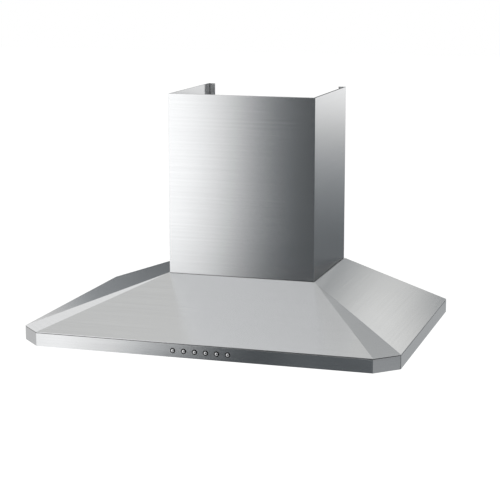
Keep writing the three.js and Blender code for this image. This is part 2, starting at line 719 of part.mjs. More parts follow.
// A three-sided cover with returns along the wall.
function coverProfile(halfWidth, depth, rearY, z0, z1) {
  const inner = halfWidth - SHEET;
  const outer = block(-halfWidth, halfWidth, -depth, rearY, z0, z1);
  const hollow = block(-inner, inner, -depth + SHEET, rearY - SHEET, z0 - CUT_MARGIN, z1 + CUT_MARGIN);
  const openHalf = halfWidth - CHIMNEY_RETURN;
  const back = block(
    -openHalf, openHalf, rearY - SHEET - CUT_MARGIN, rearY + CUT_MARGIN, z0 - CUT_MARGIN, z1 + CUT_MARGIN);
  return outer.subtract(hollow).subtract(back);
}

function lowerCover() {
  const half = CHIMNEY_WIDTH / 2;
  let cover = coverProfile(half, CHIMNEY_DEPTH, 0, CANOPY_HEIGHT, CHIMNEY_TOP);
  for (const y of COVER_TAB_YS) {
    for (const side of [-1, 1]) {
      const x = [side * half, side * (half - SHEET)].sort((a, b) => a - b);
      cover = cover.add(block(
        x[0], x[1], y - COVER_TAB_WIDTH / 2, y + COVER_TAB_WIDTH / 2,
        CANOPY_HEIGHT - COVER_TAB_DROP, CANOPY_HEIGHT + SHEET));
    }
  }
  return cover;
}

const UPPER_HALF = CHIMNEY_WIDTH / 2 - SHEET - COVER_GAP;
const UPPER_DEPTH = CHIMNEY_DEPTH - SHEET - COVER_GAP;
const UPPER_REAR_Y = -SHEET - TOUCH_GAP;
const BRACKET_TOP = CHIMNEY_TOP - BRACKET_TOP_MARGIN;
const BRACKET_SCREW_Z = BRACKET_TOP - BRACKET_HEIGHT / 2;
const BRACKET_SCREW_Y = UPPER_REAR_Y - SHEET - TOUCH_GAP - BRACKET_SCREW_INSET;

function upperCover() {
  let cover = coverProfile(UPPER_HALF, UPPER_DEPTH, UPPER_REAR_Y, CANOPY_HEIGHT + TOUCH_GAP, CHIMNEY_TOP);
  const far = CHIMNEY_WIDTH;
  const middleY = -UPPER_DEPTH / 2;
  for (let i = 0; i < VENT_COUNT; i += 1) {
    const top = CHIMNEY_TOP - VENT_TOP_MARGIN - i * VENT_PITCH;
    cover = cover.subtract(block(
      -far, far, middleY - VENT_LENGTH / 2, middleY + VENT_LENGTH / 2, top - VENT_HEIGHT, top));
  }
  const screwHole = moved(
    rod(SCREW_R + SCREW_FIT, -far, far, 'x', SMALL_SIDES), 0, BRACKET_SCREW_Y, BRACKET_SCREW_Z);
  return cover.subtract(screwHole);
}

// A joggled strap: it stands on the wall in the middle and its ears lie inside the upper cover.
function wallBracket() {
  const earX = UPPER_HALF - SHEET - TOUCH_GAP;
  const strapY = UPPER_REAR_Y - SHEET - TOUCH_GAP;
  const t = BRACKET_SHEET;
  const footX = UPPER_HALF - CHIMNEY_RETURN - 3 * t;
  const outer = [
    [footX - 4 * t, 0], [footX - t, strapY], [earX, strapY], [earX, strapY - BRACKET_EAR],
  ];
  const inner = [
    [earX - t, strapY - BRACKET_EAR], [earX - t, strapY - t], [footX - 2 * t, strapY - t],
    [footX - 5 * t, -t],
  ];
  const strap = outline([
    ...outer, ...inner,
    ...inner.map(([x, y]) => [-x, y]).reverse(), ...outer.map(([x, y]) => [-x, y]).reverse(),
  ]);
  const z0 = BRACKET_TOP - BRACKET_HEIGHT;
  let bracket = extruded(strap, 'xy', z0, BRACKET_TOP);
  const far = CHIMNEY_WIDTH;
  bracket = bracket.subtract(moved(
    rod(SCREW_R + SCREW_FIT, -far, far, 'x', SMALL_SIDES), 0, BRACKET_SCREW_Y, BRACKET_SCREW_Z));
  for (const x of [-BRACKET_HOLE_X, BRACKET_HOLE_X]) {
    bracket = bracket.subtract(moved(
      rod(KEYHOLE_SLOT_R, -CUT_MARGIN, CUT_MARGIN, 'y', SMALL_SIDES), x, 0, BRACKET_SCREW_Z));
  }
  return bracket;
}

// ---------------------------------------------------------------- buttons

const STEM_END = SKIRT_INNER + BUTTON_STEM;

// Turned about +Y with the visible dome at its low end; y = 0 is the fascia's face.
function buttonCap() {
  const domePoints = [0, 0.45, 0.8, 1].map((share) => [
    BUTTON_R * share, -BUTTON_PROUD + BUTTON_DOME * share * share,
  ]);
  return turned([...domePoints, [BUTTON_R, STEM_END], [0, STEM_END]], 'y', SMALL_SIDES);
}

function buttonRing() {
  const bore = BUTTON_R + BUTTON_CLEARANCE;
  const wall = bore + BUTTON_RING_WALL;
  const faceR = BUTTON_RING_R - BUTTON_RING_CHAMFER;
  return turned([
    [bore, -BUTTON_RING_PROUD], [faceR, -BUTTON_RING_PROUD], [BUTTON_RING_R, 0], [wall, 0],
    [wall, SKIRT_INNER], [bore, SKIRT_INNER], [bore, -BUTTON_RING_PROUD],
  ], 'y', SMALL_SIDES);
}

function switchBlock() {
  const y0 = SWITCH_FRONT_Y;
  const y1 = y0 + SWITCH_BLOCK_DEPTH;
  const z0 = BUTTON_Z - SWITCH_BLOCK_HEIGHT / 2;
  const z1 = BUTTON_Z + SWITCH_BLOCK_HEIGHT / 2;
  const body = roundedRectangle(
    BUTTON_ROW_X - SWITCH_HALF, BUTTON_ROW_X + SWITCH_HALF, z0, z1, SWITCH_CORNER_R);
  let housing = extruded(body, 'xz', y0, y1, 2);
  housing = housing.add(block(
    BUTTON_ROW_X - SWITCH_EAR_HALF, BUTTON_ROW_X + SWITCH_EAR_HALF,
    y0, y0 + SWITCH_EAR_DEPTH, PANEL_HEIGHT, PANEL_HEIGHT + SWITCH_EAR_THICKNESS));
  const wellEnd = STEM_END + BUTTON_TRAVEL + SWITCH_WELL_SPARE;
  for (const x of buttonXs()) {
    const well = rod(BUTTON_R + BUTTON_CLEARANCE, -CUT_MARGIN, wellEnd, 'y', SMALL_SIDES);
    housing = housing.subtract(moved(well, x, -HOOD_DEPTH, BUTTON_Z));
  }
  return housing;
}

function placeButtons() {
  const row = new THREE.Group();
  row.position.set(0, -HOOD_DEPTH, BUTTON_Z);
  hood.add(row);
  const cap = buttonCap();
  const ring = buttonRing();
  buttonXs().forEach((x, i) => {
    place(`button_${i + 1}`, cap, CHROME, row, [x, 0, 0]);
    place(`button_ring_${i + 1}`, ring, BLACK_PLASTIC, row, [x, 0, 0]);
  });
}

// ---------------------------------------------------------------- control box

const CONTROL_FRONT_Y = -HOOD_DEPTH + CONTROL_BOX_FRONT_MARGIN;
const CONTROL_REAR_Y = CONTROL_FRONT_Y + CONTROL_BOX_DEPTH;
const CONTROL_TOP = PANEL_TOP + CONTROL_BOX_HEIGHT;

// Distances of evenly spaced features from the middle of their row.
function spacedEvenly(count, pitch) {
  return Array.from({ length: count }, (_, i) => (i - (count - 1) / 2) * pitch);
}

function controlBoxBase() {
  const half = CONTROL_BOX_WIDTH / 2;
  const body = roundedRectangle(-half, half, CONTROL_FRONT_Y, CONTROL_REAR_Y, CONTROL_BOX_CORNER_R);
  const socketBottom = PANEL_TOP + (CONTROL_BOX_HEIGHT - SOCKET_HEIGHT) / 2;
  const sockets = spacedEvenly(SOCKET_COUNT, SOCKET_PITCH).map((x) => block(
    x - SOCKET_WIDTH / 2, x + SOCKET_WIDTH / 2, CONTROL_REAR_Y - SOCKET_DEPTH, CONTROL_REAR_Y + CUT_MARGIN,
    socketBottom, socketBottom + SOCKET_HEIGHT));
  return extruded(body, 'xy', PANEL_TOP, CONTROL_TOP, 2).subtract(union(sockets));
}

function controlBoxLid() {
  const half = CONTROL_BOX_WIDTH / 2 + CONTROL_LID_OVERHANG;
  const frontY = CONTROL_FRONT_Y - CONTROL_LID_OVERHANG;
  const rearY = CONTROL_REAR_Y + CONTROL_LID_OVERHANG;
  const body = roundedRectangle(-half, half, frontY, rearY, CONTROL_BOX_CORNER_R);
  const lidTop = CONTROL_TOP + CONTROL_LID_THICKNESS;
  const grooves = spacedEvenly(LID_GROOVE_COUNT, LID_GROOVE_PITCH).map((x) => block(
    x - LID_GROOVE_WIDTH / 2, x + LID_GROOVE_WIDTH / 2, frontY + LID_GROOVE_MARGIN, rearY - LID_GROOVE_MARGIN,
    lidTop - LID_GROOVE_DEPTH, lidTop + CUT_MARGIN));
  return extruded(body, 'xy', CONTROL_TOP, lidTop, 2).subtract(union(grooves));
}

// ---------------------------------------------------------------- grease filters

const SEAT_FRONT = FILTER_SHEET + TOUCH_GAP;
const BOLT_BOTTOM = PANEL_TOP + TOUCH_GAP - FILTER_BOTTOM_Z;
const BOLT_TOP = BOLT_BOTTOM + LATCH_BOLT_THICKNESS;

// Filter pieces share a frame with its origin at the middle of the filter's rear bottom edge.
function boltSlot() {
  const half = LATCH_BOLT_WIDTH / 2 + LATCH_CLEARANCE;
  return block(
    -half, half, -FILTER_LENGTH - CUT_MARGIN, -FILTER_LENGTH + LATCH_SEAT_WALL + CUT_MARGIN,
    BOLT_BOTTOM - LATCH_CLEARANCE / 2, BOLT_TOP + LATCH_CLEARANCE);
}

function filterFrame() {
  const w = FILTER_WIDTH / 2;
  const rim = FILTER_RIM;
  const s = FILTER_SHEET;
  const body = roundedRectangle(-w, w, -FILTER_LENGTH, 0, FILTER_CORNER_R);
  let frame = extruded(body, 'xy', 0, FILTER_THICKNESS, 2);
  frame = frame.subtract(block(
    -w + rim, w - rim, -FILTER_LENGTH + rim, -rim, -CUT_MARGIN, FILTER_THICKNESS + CUT_MARGIN));
  frame = frame.subtract(block(-w + s, w - s, -FILTER_LENGTH + s, -s, s, FILTER_THICKNESS - s));
  const seatHalf = LATCH_SEAT_WIDTH / 2 + LATCH_CLEARANCE;
  frame = frame.subtract(block(
    -seatHalf, seatHalf, -FILTER_LENGTH + s, -FILTER_LENGTH + LATCH_SEAT_DEPTH, -CUT_MARGIN,
    FILTER_THICKNESS + CUT_MARGIN));
  frame = frame.subtract(boltSlot());
  for (const x of [-w / 2, w / 2]) {
    frame = frame.add(block(
      x - FILTER_TAB_WIDTH / 2, x + FILTER_TAB_WIDTH / 2, -s, FILTER_TAB_REACH,
      BOLT_BOTTOM, BOLT_BOTTOM + s));
  }
  return frame;
}

// Expanded sheet: offset rows of diamond gaps.
function filterMesh() {
  const x1 = FILTER_WIDTH / 2 - FILTER_SHEET - MESH_CLEARANCE;
  const y0 = -FILTER_LENGTH + FILTER_SHEET + MESH_CLEARANCE;
  const y1 = -FILTER_SHEET - MESH_CLEARANCE;
  const sheet = outline([[-x1, y0], [x1, y0], [x1, y1], [-x1, y1]]);
  const openWidth = FILTER_WIDTH - 2 * FILTER_RIM;
  const openLength = FILTER_LENGTH - 2 * FILTER_RIM;
  const pitchX = openWidth / MESH_COLUMNS;
  const pitchY = openLength / MESH_ROWS;
  const halfX = pitchX / 2 - MESH_STRAND;
  const halfY = pitchY / 2 - MESH_STRAND;
  const seatX = LATCH_SEAT_WIDTH / 2 + MESH_STRAND;
  const seatY = -FILTER_LENGTH + LATCH_SEAT_DEPTH + MESH_STRAND;
  for (let row = 0; row < 2 * MESH_ROWS - 1; row += 1) {
    const offset = row % 2 === 0 ? 0 : pitchX / 2;
    const count = row % 2 === 0 ? MESH_COLUMNS : MESH_COLUMNS - 1;
    const y = -FILTER_LENGTH + FILTER_RIM + pitchY / 2 + row * pitchY / 2;
    for (let column = 0; column < count; column += 1) {
      const x = -openWidth / 2 + pitchX / 2 + offset + column * pitchX;
      const nearSeat = Math.abs(x) - halfX < seatX && y - halfY < seatY;
      if (nearSeat) continue;
      const gap = [[x - halfX, y], [x, y - halfY], [x + halfX, y], [x, y + halfY]];
      sheet.holes.push(new THREE.Path(gap.map(([u, v]) => new THREE.Vector2(u, v))));
    }
  }
  const z0 = FILTER_SHEET + MESH_CLEARANCE;
  const z1 = FILTER_THICKNESS - FILTER_SHEET - MESH_CLEARANCE;
  const seatHalf = LATCH_SEAT_WIDTH / 2 + LATCH_CLEARANCE;
  const seatRoom = block(
    -seatHalf, seatHalf, -FILTER_LENGTH, -FILTER_LENGTH + LATCH_SEAT_DEPTH + LATCH_CLEARANCE,
    -CUT_MARGIN, FILTER_THICKNESS + CUT_MARGIN);
  return extruded(sheet, 'xy', z0, z1).subtract(seatRoom);
}

// The tray that guides the latch, set into the front of the filter and open below.
function latchSeat() {
  const half = LATCH_SEAT_WIDTH / 2;
  const y0 = -FILTER_LENGTH + SEAT_FRONT;
  const y1 = -FILTER_LENGTH + LATCH_SEAT_DEPTH - LATCH_CLEARANCE;
  const wall = LATCH_SEAT_WALL;
  const body = roundedRectangle(-half, half, y0, y1, FILTER_CORNER_R);
  return extruded(body, 'xy', 0, FILTER_THICKNESS, 2)
    .subtract(block(
      -half + wall, half - wall, y0 + wall, y1 - wall, -CUT_MARGIN, FILTER_THICKNESS - wall))
    .subtract(boltSlot());
}

function latchSlide() {
  const half = LATCH_SEAT_WIDTH / 2 - LATCH_SEAT_WALL - LATCH_CLEARANCE;
  const y0 = -FILTER_LENGTH + SEAT_FRONT + LATCH_SEAT_WALL + LATCH_CLEARANCE;
  const y1 = -FILTER_LENGTH + LATCH_SEAT_DEPTH - LATCH_CLEARANCE - LATCH_SEAT_WALL - LATCH_TRAVEL
    - LATCH_CLEARANCE;
  const plate = extruded(
    roundedRectangle(-half, half, y0, y1, FILTER_CORNER_R), 'xy', BOLT_BOTTOM, BOLT_TOP, 2);
  const bolt = block(
    -LATCH_BOLT_WIDTH / 2, LATCH_BOLT_WIDTH / 2, -FILTER_LENGTH - LATCH_BOLT_REACH, (y0 + y1) / 2,
    BOLT_BOTTOM, BOLT_TOP);
  const gripRoot = BOLT_BOTTOM + LATCH_BOLT_THICKNESS / 2;
  const gripAt = (share) => y0 + (y1 - y0) * share;
  const grip = extruded(outline([
    [gripAt(0.2), gripRoot], [gripAt(0.35), -LATCH_GRIP_DROP], [gripAt(0.6), -LATCH_GRIP_DROP],
    [gripAt(0.75), gripRoot],
  ]), 'yz', -LATCH_GRIP_WIDTH / 2, LATCH_GRIP_WIDTH / 2);
  return plate.add(bolt).add(grip);
}

function placeFilters() {
  const frame = filterFrame();
  const mesh = filterMesh();
  const seat = latchSeat();
  const latch = latchSlide();
  for (const [side, name] of [[-1, 'left'], [1, 'right']]) {
    const filter = new THREE.Group();
    filter.position.set(side * FILTER_CENTRE_X, FILTER_REAR_Y, FILTER_BOTTOM_Z);
    hood.add(filter);
    place(`filter_frame_${name}`, frame, ALUMINIUM, filter);
    place(`filter_mesh_${name}`, mesh, ALUMINIUM, filter);
    place(`latch_seat_${name}`, seat, BLACK_PLASTIC, filter);
    place(`latch_${name}`, latch, BLACK_PLASTIC, filter);
  }
}

// ---------------------------------------------------------------- lamps

function placeLamps() {
  const holderR = LAMP_HOLE_R - TOUCH_GAP;
  const pocketR = LAMP_LENS_R + TOUCH_GAP;
  const eyeR = LAMP_LENS_R - LAMP_BEZEL_COVER;
  const bezel = turned([
    [eyeR, -LAMP_BEZEL_DROP], [LAMP_BEZEL_R - LAMP_BEZEL_DROP, -LAMP_BEZEL_DROP],
    [LAMP_BEZEL_R, -LAMP_BEZEL_DROP / 3], [LAMP_BEZEL_R, 0], [holderR, 0], [holderR, LAMP_BEZEL_RISE],
    [pocketR, LAMP_BEZEL_RISE], [pocketR, 0], [eyeR, -LAMP_BEZEL_DROP],
  ], 'z', MEDIUM_SIDES);
  const lensBottom = TOUCH_GAP;
  const lens = rod(LAMP_LENS_R, lensBottom, lensBottom + LAMP_LENS_THICKNESS, 'z', MEDIUM_SIDES);
  const canBase = LAMP_BEZEL_RISE + TOUCH_GAP;
  const shoulder = (canBase + LAMP_CAN_HEIGHT) / 2;
  const can = turned([
    [holderR - LAMP_CAN_WALL, canBase], [holderR, canBase], [holderR, shoulder],
    [LAMP_CAN_NECK_R, LAMP_CAN_HEIGHT], [0, LAMP_CAN_HEIGHT], [0, LAMP_CAN_HEIGHT - LAMP_CAN_WALL],
    [LAMP_CAN_NECK_R - LAMP_CAN_WALL / 2, LAMP_CAN_HEIGHT - LAMP_CAN_WALL],
    [holderR - LAMP_CAN_WALL, shoulder - LAMP_CAN_WALL / 2], [holderR - LAMP_CAN_WALL, canBase],
  ], 'z', MEDIUM_SIDES);
  for (const [side, name] of [[-1, 'left'], [1, 'right']]) {
    const lamp = new THREE.Group();
    lamp.position.set(side * LAMP_X, LAMP_Y, PANEL_HEIGHT);
    hood.add(lamp);
    place(`lamp_bezel_${name}`, bezel, CHROME, lamp);
    place(`lamp_lens_${name}`, lens, GLASS, lamp);
    place(`lamp_can_${name}`, can, ALUMINIUM, lamp);
  }
}

// ---------------------------------------------------------------- blower

// Blower pieces share a frame with its origin on the fan's axis, midway along it.

function spiralBody(offset, x0, x1) {
  const start = THREE.MathUtils.degToRad(VOLUTE_START_DEG);
  const end = 2 * Math.PI;
  const points = [];
  for (let i = 0; i <= VOLUTE_STEPS; i += 1) {
    const share = i / VOLUTE_STEPS;
    const angle = start + (end - start) * share;
    const radius = VOLUTE_START_R + (VOLUTE_END_R - VOLUTE_START_R) * share + offset;
    points.push([radius * Math.cos(angle), radius * Math.sin(angle)]);
  }
  return extruded(outline(points), 'yz', x0, x1);
}

function throatBody(offset, x0, x1, top = HOUSING_TOP) {
  const start = THREE.MathUtils.degToRad(VOLUTE_START_DEG);
  const tongue = [VOLUTE_START_R * Math.cos(start), VOLUTE_START_R * Math.sin(start)];
  const frontY = VOLUTE_END_R - 2 * OUTLET_R;
  const along = [frontY - tongue[0], HOUSING_TOP - tongue[1]];
  const length = Math.hypot(...along);
  const normal = [-along[1] / length, along[0] / length];
  const foot = [tongue[0] + normal[0] * offset, tongue[1] + normal[1] * offset];
  const points = [
    [0, 0], [VOLUTE_END_R + offset, 0], [VOLUTE_END_R + offset, top], [frontY - offset, top],
    [frontY - offset, HOUSING_TOP - HOUSING_WALL], foot,
  ];
  return extruded(outline(points), 'yz', x0, x1);
}

function voluteBody(offset, x0, x1, top) {
  return spiralBody(offset, x0, x1).add(throatBody(offset, x0, x1, top));
}

// One half of the scroll housing, for the side where x is positive.
function scrollHalf() {
  const split = TOUCH_GAP / 2;
  const innerX = HOUSING_HALF_WIDTH - HOUSING_WALL;
  let half = voluteBody(HOUSING_WALL, split, HOUSING_HALF_WIDTH, HOUSING_TOP);
  half = half.add(voluteBody(HOUSING_FLANGE, split, split + HOUSING_WALL, HOUSING_TOP));
  const armTop = CANOPY_HEIGHT + ARM_THICKNESS - FAN_AXIS_Z;
  for (const y of [-ARM_Y, ARM_Y]) {
    const y0 = y - ARM_WIDTH / 2;
    const y1 = y + ARM_WIDTH / 2;
    const arm = block(innerX, ARM_REACH, y0, y1, armTop - ARM_THICKNESS, armTop);
    half = half.add(arm);
    for (const rib of [y0, y1 - HOUSING_WALL]) {
      const gusset = outline([
        [innerX, armTop - JOIN_OVERLAP], [ARM_REACH - 2 * SCREW_HEAD_R, armTop - JOIN_OVERLAP],
        [innerX, armTop + GUSSET_RISE],
      ]);
      half = half.add(extruded(gusset, 'xz', rib, rib + HOUSING_WALL));
    }
  }
  const lipRoot = HOUSING_HALF_WIDTH - JOIN_OVERLAP;
  const lipTop = HOUSING_HALF_WIDTH + INLET_LIP;
  const shoulderR = INLET_R + (INLET_LIP_FOOT + INLET_LIP_CREST) / 2;
  const lip = turned([
    [INLET_R, lipRoot], [INLET_R + INLET_LIP_FOOT, lipRoot], [shoulderR, lipTop - JOIN_OVERLAP],
    [INLET_R + INLET_LIP_CREST, lipTop], [INLET_R, lipRoot],
  ], 'x', LARGE_SIDES);
  half = half.subtract(voluteBody(0, -CUT_MARGIN, innerX, HOUSING_TOP + CUT_MARGIN));
  half = half.subtract(rod(INLET_R, innerX - CUT_MARGIN, ARM_REACH, 'x', LARGE_SIDES));
  half = half.add(lip);
  for (const y of [-ARM_Y, ARM_Y]) {
    half = half.subtract(moved(
      rod(SCREW_R + SCREW_FIT, armTop - 2 * ARM_THICKNESS, armTop + CUT_MARGIN, 'z', SMALL_SIDES),
      ARM_SCREW_X, y, 0));
  }
  return half;
}

// Bosses on the motor side carry the bracket's three arms.
function motorSideHalf() {
  const bosses = MOTOR_ARM_DEGREES.map((degrees) => {
    const angle = THREE.MathUtils.degToRad(degrees);
    const boss = rod(MOTOR_BOSS_R, HOUSING_HALF_WIDTH - JOIN_OVERLAP, MOTOR_BRACKET_X, 'x', SMALL_SIDES);
    return moved(boss, 0, MOTOR_BRACKET_ARM_R * Math.cos(angle), MOTOR_BRACKET_ARM_R * Math.sin(angle));
  });
  return scrollHalf().add(union(bosses));
}

const CAPACITOR_X = HOUSING_HALF_WIDTH + CAPACITOR_R + SADDLE_WALL;

// The capacitor's saddles are moulded on the other half.
function capacitorSideHalf() {
  let half = scrollHalf();
  const reach = CAPACITOR_R + SADDLE_WALL;
  for (const z of [CAPACITOR_BOTTOM + SADDLE_HEIGHT, CAPACITOR_TOP - 2 * SADDLE_HEIGHT]) {
    const saddle = block(
      HOUSING_HALF_WIDTH - JOIN_OVERLAP, CAPACITOR_X, CAPACITOR_Y - reach, CAPACITOR_Y + reach,
      z, z + SADDLE_HEIGHT);
    const bed = rod(
      CAPACITOR_R + TOUCH_GAP, z - CUT_MARGIN, z + SADDLE_HEIGHT + CUT_MARGIN, 'z', MEDIUM_SIDES);
    half = half.add(saddle.subtract(moved(bed, CAPACITOR_X, CAPACITOR_Y, 0)));
  }
  return mirroredX(half);
}

function capacitor() {
  const endR = CAPACITOR_R - CAPACITOR_CHAMFER;
  const studTop = CAPACITOR_TOP + CAPACITOR_STUD_HEIGHT;
  const can = turned([
    [0, CAPACITOR_BOTTOM], [endR, CAPACITOR_BOTTOM], [CAPACITOR_R, CAPACITOR_BOTTOM + CAPACITOR_CHAMFER],
    [CAPACITOR_R, CAPACITOR_TOP - CAPACITOR_CHAMFER], [endR, CAPACITOR_TOP],
    [CAPACITOR_STUD_R, CAPACITOR_TOP], [CAPACITOR_STUD_R, studTop], [0, studTop],
  ], 'z', MEDIUM_SIDES);
  return moved(can, -CAPACITOR_X, CAPACITOR_Y, 0);
}

// A forward-curved blade: its root leaves the eye nearly radially and its tip leans ahead.
function bladeOutline(startDegrees) {
  const front = [];
  const back = [];
  const rootR = FAN_EYE_R + FAN_BLADE_INSET;
  for (let i = 0; i <= FAN_BLADE_STEPS; i += 1) {
    const share = i / FAN_BLADE_STEPS;
    const radius = rootR + (FAN_R - rootR) * share;
    const angle = THREE.MathUtils.degToRad(startDegrees + FAN_BLADE_LEAN * share * share);
    const half = FAN_BLADE_SHEET / 2 / radius;
    front.push([radius * Math.cos(angle + half), radius * Math.sin(angle + half)]);
    back.push([radius * Math.cos(angle - half), radius * Math.sin(angle - half)]);
  }
  return outline([...back, ...front.reverse()]);
}

function impeller() {
  const sides = FAN_BLADES;
  const rings = [-1, 1].map((side) => {
    const x = [side * FAN_HALF_WIDTH, side * (FAN_HALF_WIDTH - FAN_RING)].sort((a, b) => a - b);
    return tube(FAN_R, FAN_EYE_R, x[0], x[1], 'x', sides);
  });
  const bore = SHAFT_R + SHAFT_FIT;
  const disc = turned([
    [bore, -FAN_HUB_HALF], [FAN_HUB_R, -FAN_HUB_HALF], [FAN_HUB_R + FAN_HUB_FLARE, -FAN_RING / 2],
    [FAN_R, -FAN_RING / 2], [FAN_R, FAN_RING / 2], [FAN_HUB_R + FAN_HUB_FLARE, FAN_RING / 2],
    [FAN_HUB_R, FAN_HUB_HALF], [bore, FAN_HUB_HALF], [bore, -FAN_HUB_HALF],
  ], 'x', sides);
  const blades = [];
  for (let i = 0; i < FAN_BLADES; i += 1) {
    const shape = bladeOutline(360 * i / FAN_BLADES);
    blades.push(extruded(shape, 'yz', -FAN_HALF_WIDTH + FAN_RING / 2, FAN_HALF_WIDTH - FAN_RING / 2));
  }
  return union([disc, ...rings, ...blades]);
}

function motorShaft() {
  const x0 = -FAN_HUB_HALF - SHAFT_END_SPARE;
  const x1 = MOTOR_INNER_X + SHAFT_IN_MOTOR;
  return turned([
    [0, x0], [SHAFT_R - SHAFT_CHAMFER, x0], [SHAFT_R, x0 + SHAFT_CHAMFER], [SHAFT_R, x1], [0, x1],
  ], 'x', SHAFT_SIDES);
}

function studPlaces() {
  return MOTOR_ARM_DEGREES.map((degrees) => {
    const angle = THREE.MathUtils.degToRad(degrees);
    return [MOTOR_STUD_PITCH_R * Math.cos(angle), MOTOR_STUD_PITCH_R * Math.sin(angle)];
  });
}

function motor() {
  const boreEnd = MOTOR_INNER_X + SHAFT_IN_MOTOR + SHAFT_BORE_SPARE;
  const endR = MOTOR_R - MOTOR_BELL;
  let body = turned([
    [MOTOR_BORE_R, MOTOR_INNER_X], [MOTOR_BEARING_R, MOTOR_INNER_X],
    [MOTOR_BEARING_R, MOTOR_INNER_X + MOTOR_BELL], [endR, MOTOR_INNER_X + MOTOR_BELL],
    [MOTOR_R, MOTOR_INNER_X + 2 * MOTOR_BELL], [MOTOR_R, MOTOR_OUTER_X - MOTOR_BELL],
    [endR, MOTOR_OUTER_X], [0, MOTOR_OUTER_X],
    [0, boreEnd], [MOTOR_BORE_R, boreEnd], [MOTOR_BORE_R, MOTOR_INNER_X],
  ], 'x', MEDIUM_SIDES);
  for (const [y, z] of studPlaces()) {
    const stud = rod(MOTOR_STUD_R, MOTOR_OUTER_X - JOIN_OVERLAP, MOTOR_BRACKET_X, 'x', SMALL_SIDES);
    body = body.add(moved(stud, 0, y, z));
  }
  return body;
}

function motorBracket() {
  const x0 = MOTOR_BRACKET_X;
  const x1 = x0 + MOTOR_BRACKET_SHEET;
  const armHalf = MOTOR_BRACKET_ARM_WIDTH / 2;
  const corner = MOTOR_BRACKET_ARM_CORNER;
  const reach = MOTOR_BRACKET_ARM_R + MOTOR_BRACKET_ARM_END;
  let plate = tube(MOTOR_STUD_PITCH_R + MOTOR_BRACKET_RIM, MOTOR_BRACKET_EYE_R, x0, x1, 'x', MEDIUM_SIDES);
  for (const degrees of MOTOR_ARM_DEGREES) {
    const arm = outline([
      [MOTOR_STUD_PITCH_R, -armHalf - corner], [reach - corner, -armHalf], [reach, -armHalf + corner],
      [reach, armHalf - corner], [reach - corner, armHalf], [MOTOR_STUD_PITCH_R, armHalf + corner],
    ]);
    const flat = extruded(arm, 'yz', x0, x1);
    plate = plate.add(turnedAbout(flat, 'x', degrees));
    const angle = THREE.MathUtils.degToRad(degrees);
    for (const radius of [MOTOR_STUD_PITCH_R, MOTOR_BRACKET_ARM_R]) {
      const hole = rod(SCREW_R, x0 - CUT_MARGIN, x1 + CUT_MARGIN, 'x', SCREW_SIDES);
      plate = plate.subtract(moved(hole, 0, radius * Math.cos(angle), radius * Math.sin(angle)));
    }
  }
  return plate;
}

const COLLAR_Y = VOLUTE_END_R - OUTLET_R;
const FLAP_Z = HOUSING_TOP + OUTLET_PLATE + FLAP_AXIS_RISE;
const COLLAR_INNER_R = OUTLET_R - OUTLET_WALL;

function outletCollar() {
  const base = HOUSING_TOP + TOUCH_GAP / 3;
  const top = HOUSING_TOP + OUTLET_PLATE + OUTLET_HEIGHT;
  const ledgeTop = FLAP_Z - FLAP_THICKNESS / 2 - TOUCH_GAP;
  const plateHalf = HOUSING_HALF_WIDTH + OUTLET_PLATE_OVERHANG;
  const plateReach = OUTLET_R + OUTLET_PLATE_OVERHANG;
  const plate = block(-plateHalf, plateHalf, -plateReach, plateReach, base, base + OUTLET_PLATE);
  const grooveMiddle = top - OUTLET_GROOVE_DROP;
  const grooveHalf = OUTLET_GROOVE_WIDTH / 2;
  const pipe = turned([
    [COLLAR_INNER_R, base], [OUTLET_R, base], [OUTLET_R, grooveMiddle - grooveHalf],
    [OUTLET_R - OUTLET_GROOVE_DEPTH, grooveMiddle], [OUTLET_R, grooveMiddle + grooveHalf],
    [OUTLET_R, top], [COLLAR_INNER_R, top],
    [COLLAR_INNER_R, ledgeTop], [COLLAR_INNER_R - FLAP_LEDGE, ledgeTop],
    [COLLAR_INNER_R, ledgeTop - FLAP_LEDGE],
    [COLLAR_INNER_R, base],
  ], 'z', LARGE_SIDES);
  const barHalf = OUTLET_BAR_WIDTH / 2;
  const barReach = COLLAR_INNER_R + OUTLET_WALL / 2;
  const bar = block(
    -barHalf, barHalf, -barReach, barReach, ledgeTop - OUTLET_BAR_DEPTH, FLAP_Z + FLAP_THICKNESS / 2);
  let collar = plate
    .subtract(rod(COLLAR_INNER_R, base - CUT_MARGIN, base + 2 * CUT_MARGIN, 'z', LARGE_SIDES))
    .add(pipe)
    .add(bar);
  for (const x of [-FLAP_AXIS_X, FLAP_AXIS_X]) {
    const pinHole = rod(FLAP_PIN_R + TOUCH_GAP, -2 * OUTLET_R, 2 * OUTLET_R, 'y', SMALL_SIDES);
    collar = collar.subtract(moved(pinHole, x, 0, FLAP_Z));
  }
  return collar;
}

// One half-disc flap with its barrel and pins, for the side where x is positive; origin on its pins.
function flap() {
  const radius = COLLAR_INNER_R - FLAP_CLEARANCE;
  const half = FLAP_THICKNESS / 2;
  const ledgeR = COLLAR_INNER_R - FLAP_LEDGE - TOUCH_GAP;
  const barrelHalf = Math.sqrt(ledgeR * ledgeR - (FLAP_AXIS_X + FLAP_BARREL_R) ** 2);
  const disc = moved(rod(radius, -half, half, 'z', LARGE_SIDES), -FLAP_AXIS_X, 0, 0)
    .intersect(block(0, 2 * radius, -radius, radius, -half, half));
  const barrel = rod(FLAP_BARREL_R, -barrelHalf, barrelHalf, 'y', SMALL_SIDES);
  const pin = rod(FLAP_PIN_R, -COLLAR_INNER_R - OUTLET_WALL, COLLAR_INNER_R + OUTLET_WALL, 'y', SMALL_SIDES);
  const rib = block(
    0, radius * FLAP_RIB_REACH, -FLAP_RIB_WIDTH / 2, FLAP_RIB_WIDTH / 2, 0, half + FLAP_RIB_HEIGHT);
  return disc.add(barrel).add(pin).add(rib);
}

